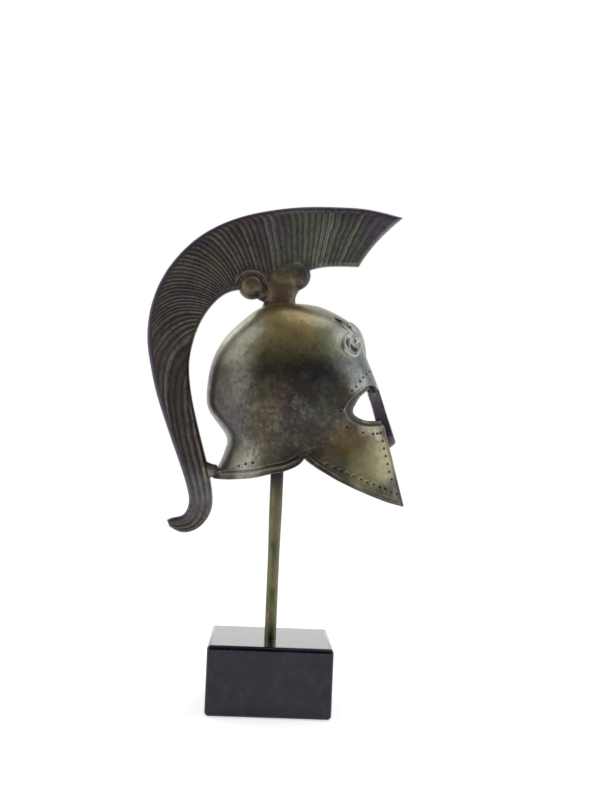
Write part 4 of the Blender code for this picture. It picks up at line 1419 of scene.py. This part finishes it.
STEM_X = -0.0020
STEM = (
    # height, half width, half depth
    (0.1725, 0.0082, 0.0062),
    (0.1765, 0.0080, 0.0060),
    (0.1780, 0.0076, 0.0056),
    (0.1792, 0.0071, 0.0050),
    (0.1810, 0.0069, 0.0047),
    (0.1830, 0.0074, 0.0046),
    (0.1852, 0.0086, 0.0045),
    (0.1880, 0.0090, 0.0043),
    (0.1910, 0.0080, 0.0037),
    (0.1935, 0.0062, 0.0030),
    (0.1955, 0.0040, 0.0022),
)
BOSSES = (
    # x, z, radius, half breadth
    (-0.0149, 0.1858, 0.0059, 0.0053),
    (0.0044, 0.1918, 0.0070, 0.0043),
    (-0.0092, 0.1835, 0.0042, 0.0037),
    (-0.0014, 0.1898, 0.0062, 0.0045),
)
ARCS = (
    # x, z, radius, from and to in degrees, where it is across the crest, thickness
    (-0.0149, 0.1858, 0.0073, 15, 175, 0.0023, 0.0017),
)
LUG_Z = 0.1028
LUG = (
    # x, half breadth, half height
    (-0.0337, 0.0018, 0.0052),
    (-0.0315, 0.0018, 0.0040),
    (-0.0293, 0.0020, 0.0031),
    (-0.0268, 0.0022, 0.0027),
)
BOSS_STEPS = 16
BOSS_FULLNESS = 0.8
ARC_STEPS = 24
ARC_SIDES = 12
ARC_END = 0.06
HOLDER_SIDES = 32
HOLDER_VOXEL = 0.00035
HOLDER_SMOOTHING = 9


def holder_bodies():
    """Closed bodies that overlap and become one, each as rings of points."""
    round_ring = circle(HOLDER_SIDES)
    yield [[(STEM_X + half * c, depth * s, height) for c, s in round_ring] for height, half, depth in STEM]
    for x, z, radius, breadth in BOSSES:
        rings = []
        for tilt in np.pi * np.arange(BOSS_STEPS - 1, 0, -1) / BOSS_STEPS:
            wide, across = radius * math.sin(tilt) ** BOSS_FULLNESS, breadth * math.cos(tilt)
            rings.append([(x + wide * c, -across, z + wide * s) for c, s in round_ring])
        yield rings
    for x, z, radius, start, end, across, thick in ARCS:
        for side in (-1, 1):
            rings = []
            for share in np.linspace(0, 1, ARC_STEPS + 1):
                turn = math.radians(start + (end - start) * share)
                way_x, way_z = math.cos(turn), math.sin(turn)
                fat = thick * math.sqrt(math.sin(math.pi * (ARC_END + (1 - 2 * ARC_END) * share)))
                ring = [(radius + fat * c, side * across + fat * s) for c, s in circle(ARC_SIDES)]
                rings.append([(x + reach * way_x, y, z + reach * way_z) for reach, y in ring])
            yield rings
    yield [[(x, breadth * c, LUG_Z + height * s) for c, s in round_ring] for x, breadth, height in LUG]


points, faces = [], []
for rings in holder_bodies():
    body_points, body_faces = tube(rings)
    faces += [tuple(len(points) + k for k in face) for face in body_faces]
    points += body_points
bodies = mesh_object("holder", points, faces)
modified(bodies, "REMESH", mode="VOXEL", voxel_size=HOLDER_VOXEL)
modified(bodies, "SMOOTH", iterations=HOLDER_SMOOTHING, factor=0.5)
holder = finished(bodies, "crest_holder", crest_material)
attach(holder, "root")
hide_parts("crest")
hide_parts("crest")


# ---------------------------------------------------------------------------------
# Studio. White paper on a table, under soft light from windows and walls above, behind
# and beside it. The room behind the camera is darker.

FLOOR_SIDE = 6.0
FLOOR_DROP = 0.0001
FLOOR_GLOW = 0.62
LIGHTS = (
    # name, place, height of the point it is aimed at, width and height, power
    ("overhead", (0.22, 0.08, 1.08), 0.13, (0.60, 0.60), 1.7),
    ("left_window", (-0.56, 0.60, 0.70), 0.15, (0.40, 0.40), 0.9),
    ("left_front", (-0.77, -0.45, 0.30), 0.12, (0.50, 0.50), 1.0),
    ("right_wall", (0.85, -0.08, 0.42), 0.14, (0.60, 0.80), 1.6),
)
# Turned to the right of +Y, raised and rolled, all in degrees; the lens is in mm.
CAMERA_AT = (-0.00861, -0.53714, 0.12221)
CAMERA_TURNED = 1.865
CAMERA_RAISED = 1.466
CAMERA_ROLLED = 2.403
CAMERA_LENS = 53.99


def white_floor():
    floor = Finish("white_floor")
    paper = floor.fade(floor.noise(0.004, 3), 0.3, 0.7)
    shade = floor.mix(paper, (0.78, 0.78, 0.78), (0.80, 0.80, 0.80))
    floor.fill(floor.shader, {"Base Color": shade, "Roughness": 0.85})
    floor.fill(floor.shader, {"Emission Color": (1.0, 1.0, 1.0, 1.0), "Emission Strength": FLOOR_GLOW})
    return floor.material


bpy.ops.mesh.primitive_plane_add(size=FLOOR_SIDE, location=(0, 0, cad_low.z - FLOOR_DROP))
floor = bpy.context.active_object
floor.name = "studio_floor"
floor.data.materials.append(white_floor())

for name, place, aim_height, size, power in LIGHTS:
    light = bpy.data.lights.new(name, "AREA")
    light.shape = "RECTANGLE"
    light.size, light.size_y = size
    light.energy = power
    lamp = new_object(name, light)
    lamp.location = place
    lamp.rotation_euler = (Vector((0, 0, aim_height)) - Vector(place)).to_track_quat("-Z", "Y").to_euler()

world = bpy.data.worlds.new("studio")
bpy.context.scene.world = world
world.use_nodes = True
world.node_tree.nodes.clear()
air = Nodes(world.node_tree)
_, y, z = air.parts(air.node("ShaderNodeTexCoord").outputs["Generated"])
strength = air.times(air.fade(y, -0.85, 0.15, 0.05, 1.3), air.fade(z, 0.25, 0.90, 1.0, 0.55))
glow = air.node("ShaderNodeBackground", {"Strength": strength}).outputs[0]
white = air.node("ShaderNodeBackground", {"Color": (1, 1, 1, 1), "Strength": 1.0}).outputs[0]
seen = air.node("ShaderNodeLightPath").outputs["Is Camera Ray"]
blend = air.node("ShaderNodeMixShader", {0: seen, 1: glow, 2: white}).outputs[0]
air.node("ShaderNodeOutputWorld", {"Surface": blend})

camera = bpy.data.cameras.new("camera")
camera.lens = CAMERA_LENS
camera.sensor_width = 36.0
camera.clip_start = 0.01
viewer = new_object("camera", camera)
yaw, pitch, roll = (math.radians(angle) for angle in (CAMERA_TURNED, CAMERA_RAISED, CAMERA_ROLLED))
level_right = Vector((math.cos(yaw), -math.sin(yaw), 0))
forward = Vector((math.sin(yaw) * math.cos(pitch), math.cos(yaw) * math.cos(pitch), math.sin(pitch)))
level_up = level_right.cross(forward)
right = level_right * math.cos(roll) + level_up * math.sin(roll)
up = level_up * math.cos(roll) - level_right * math.sin(roll)
turned = Matrix((right, up, -forward)).transposed().to_4x4()
viewer.matrix_world = Matrix.Translation(CAMERA_AT) @ turned
bpy.context.scene.camera = viewer
bpy.context.scene.view_settings.view_transform = "Standard"
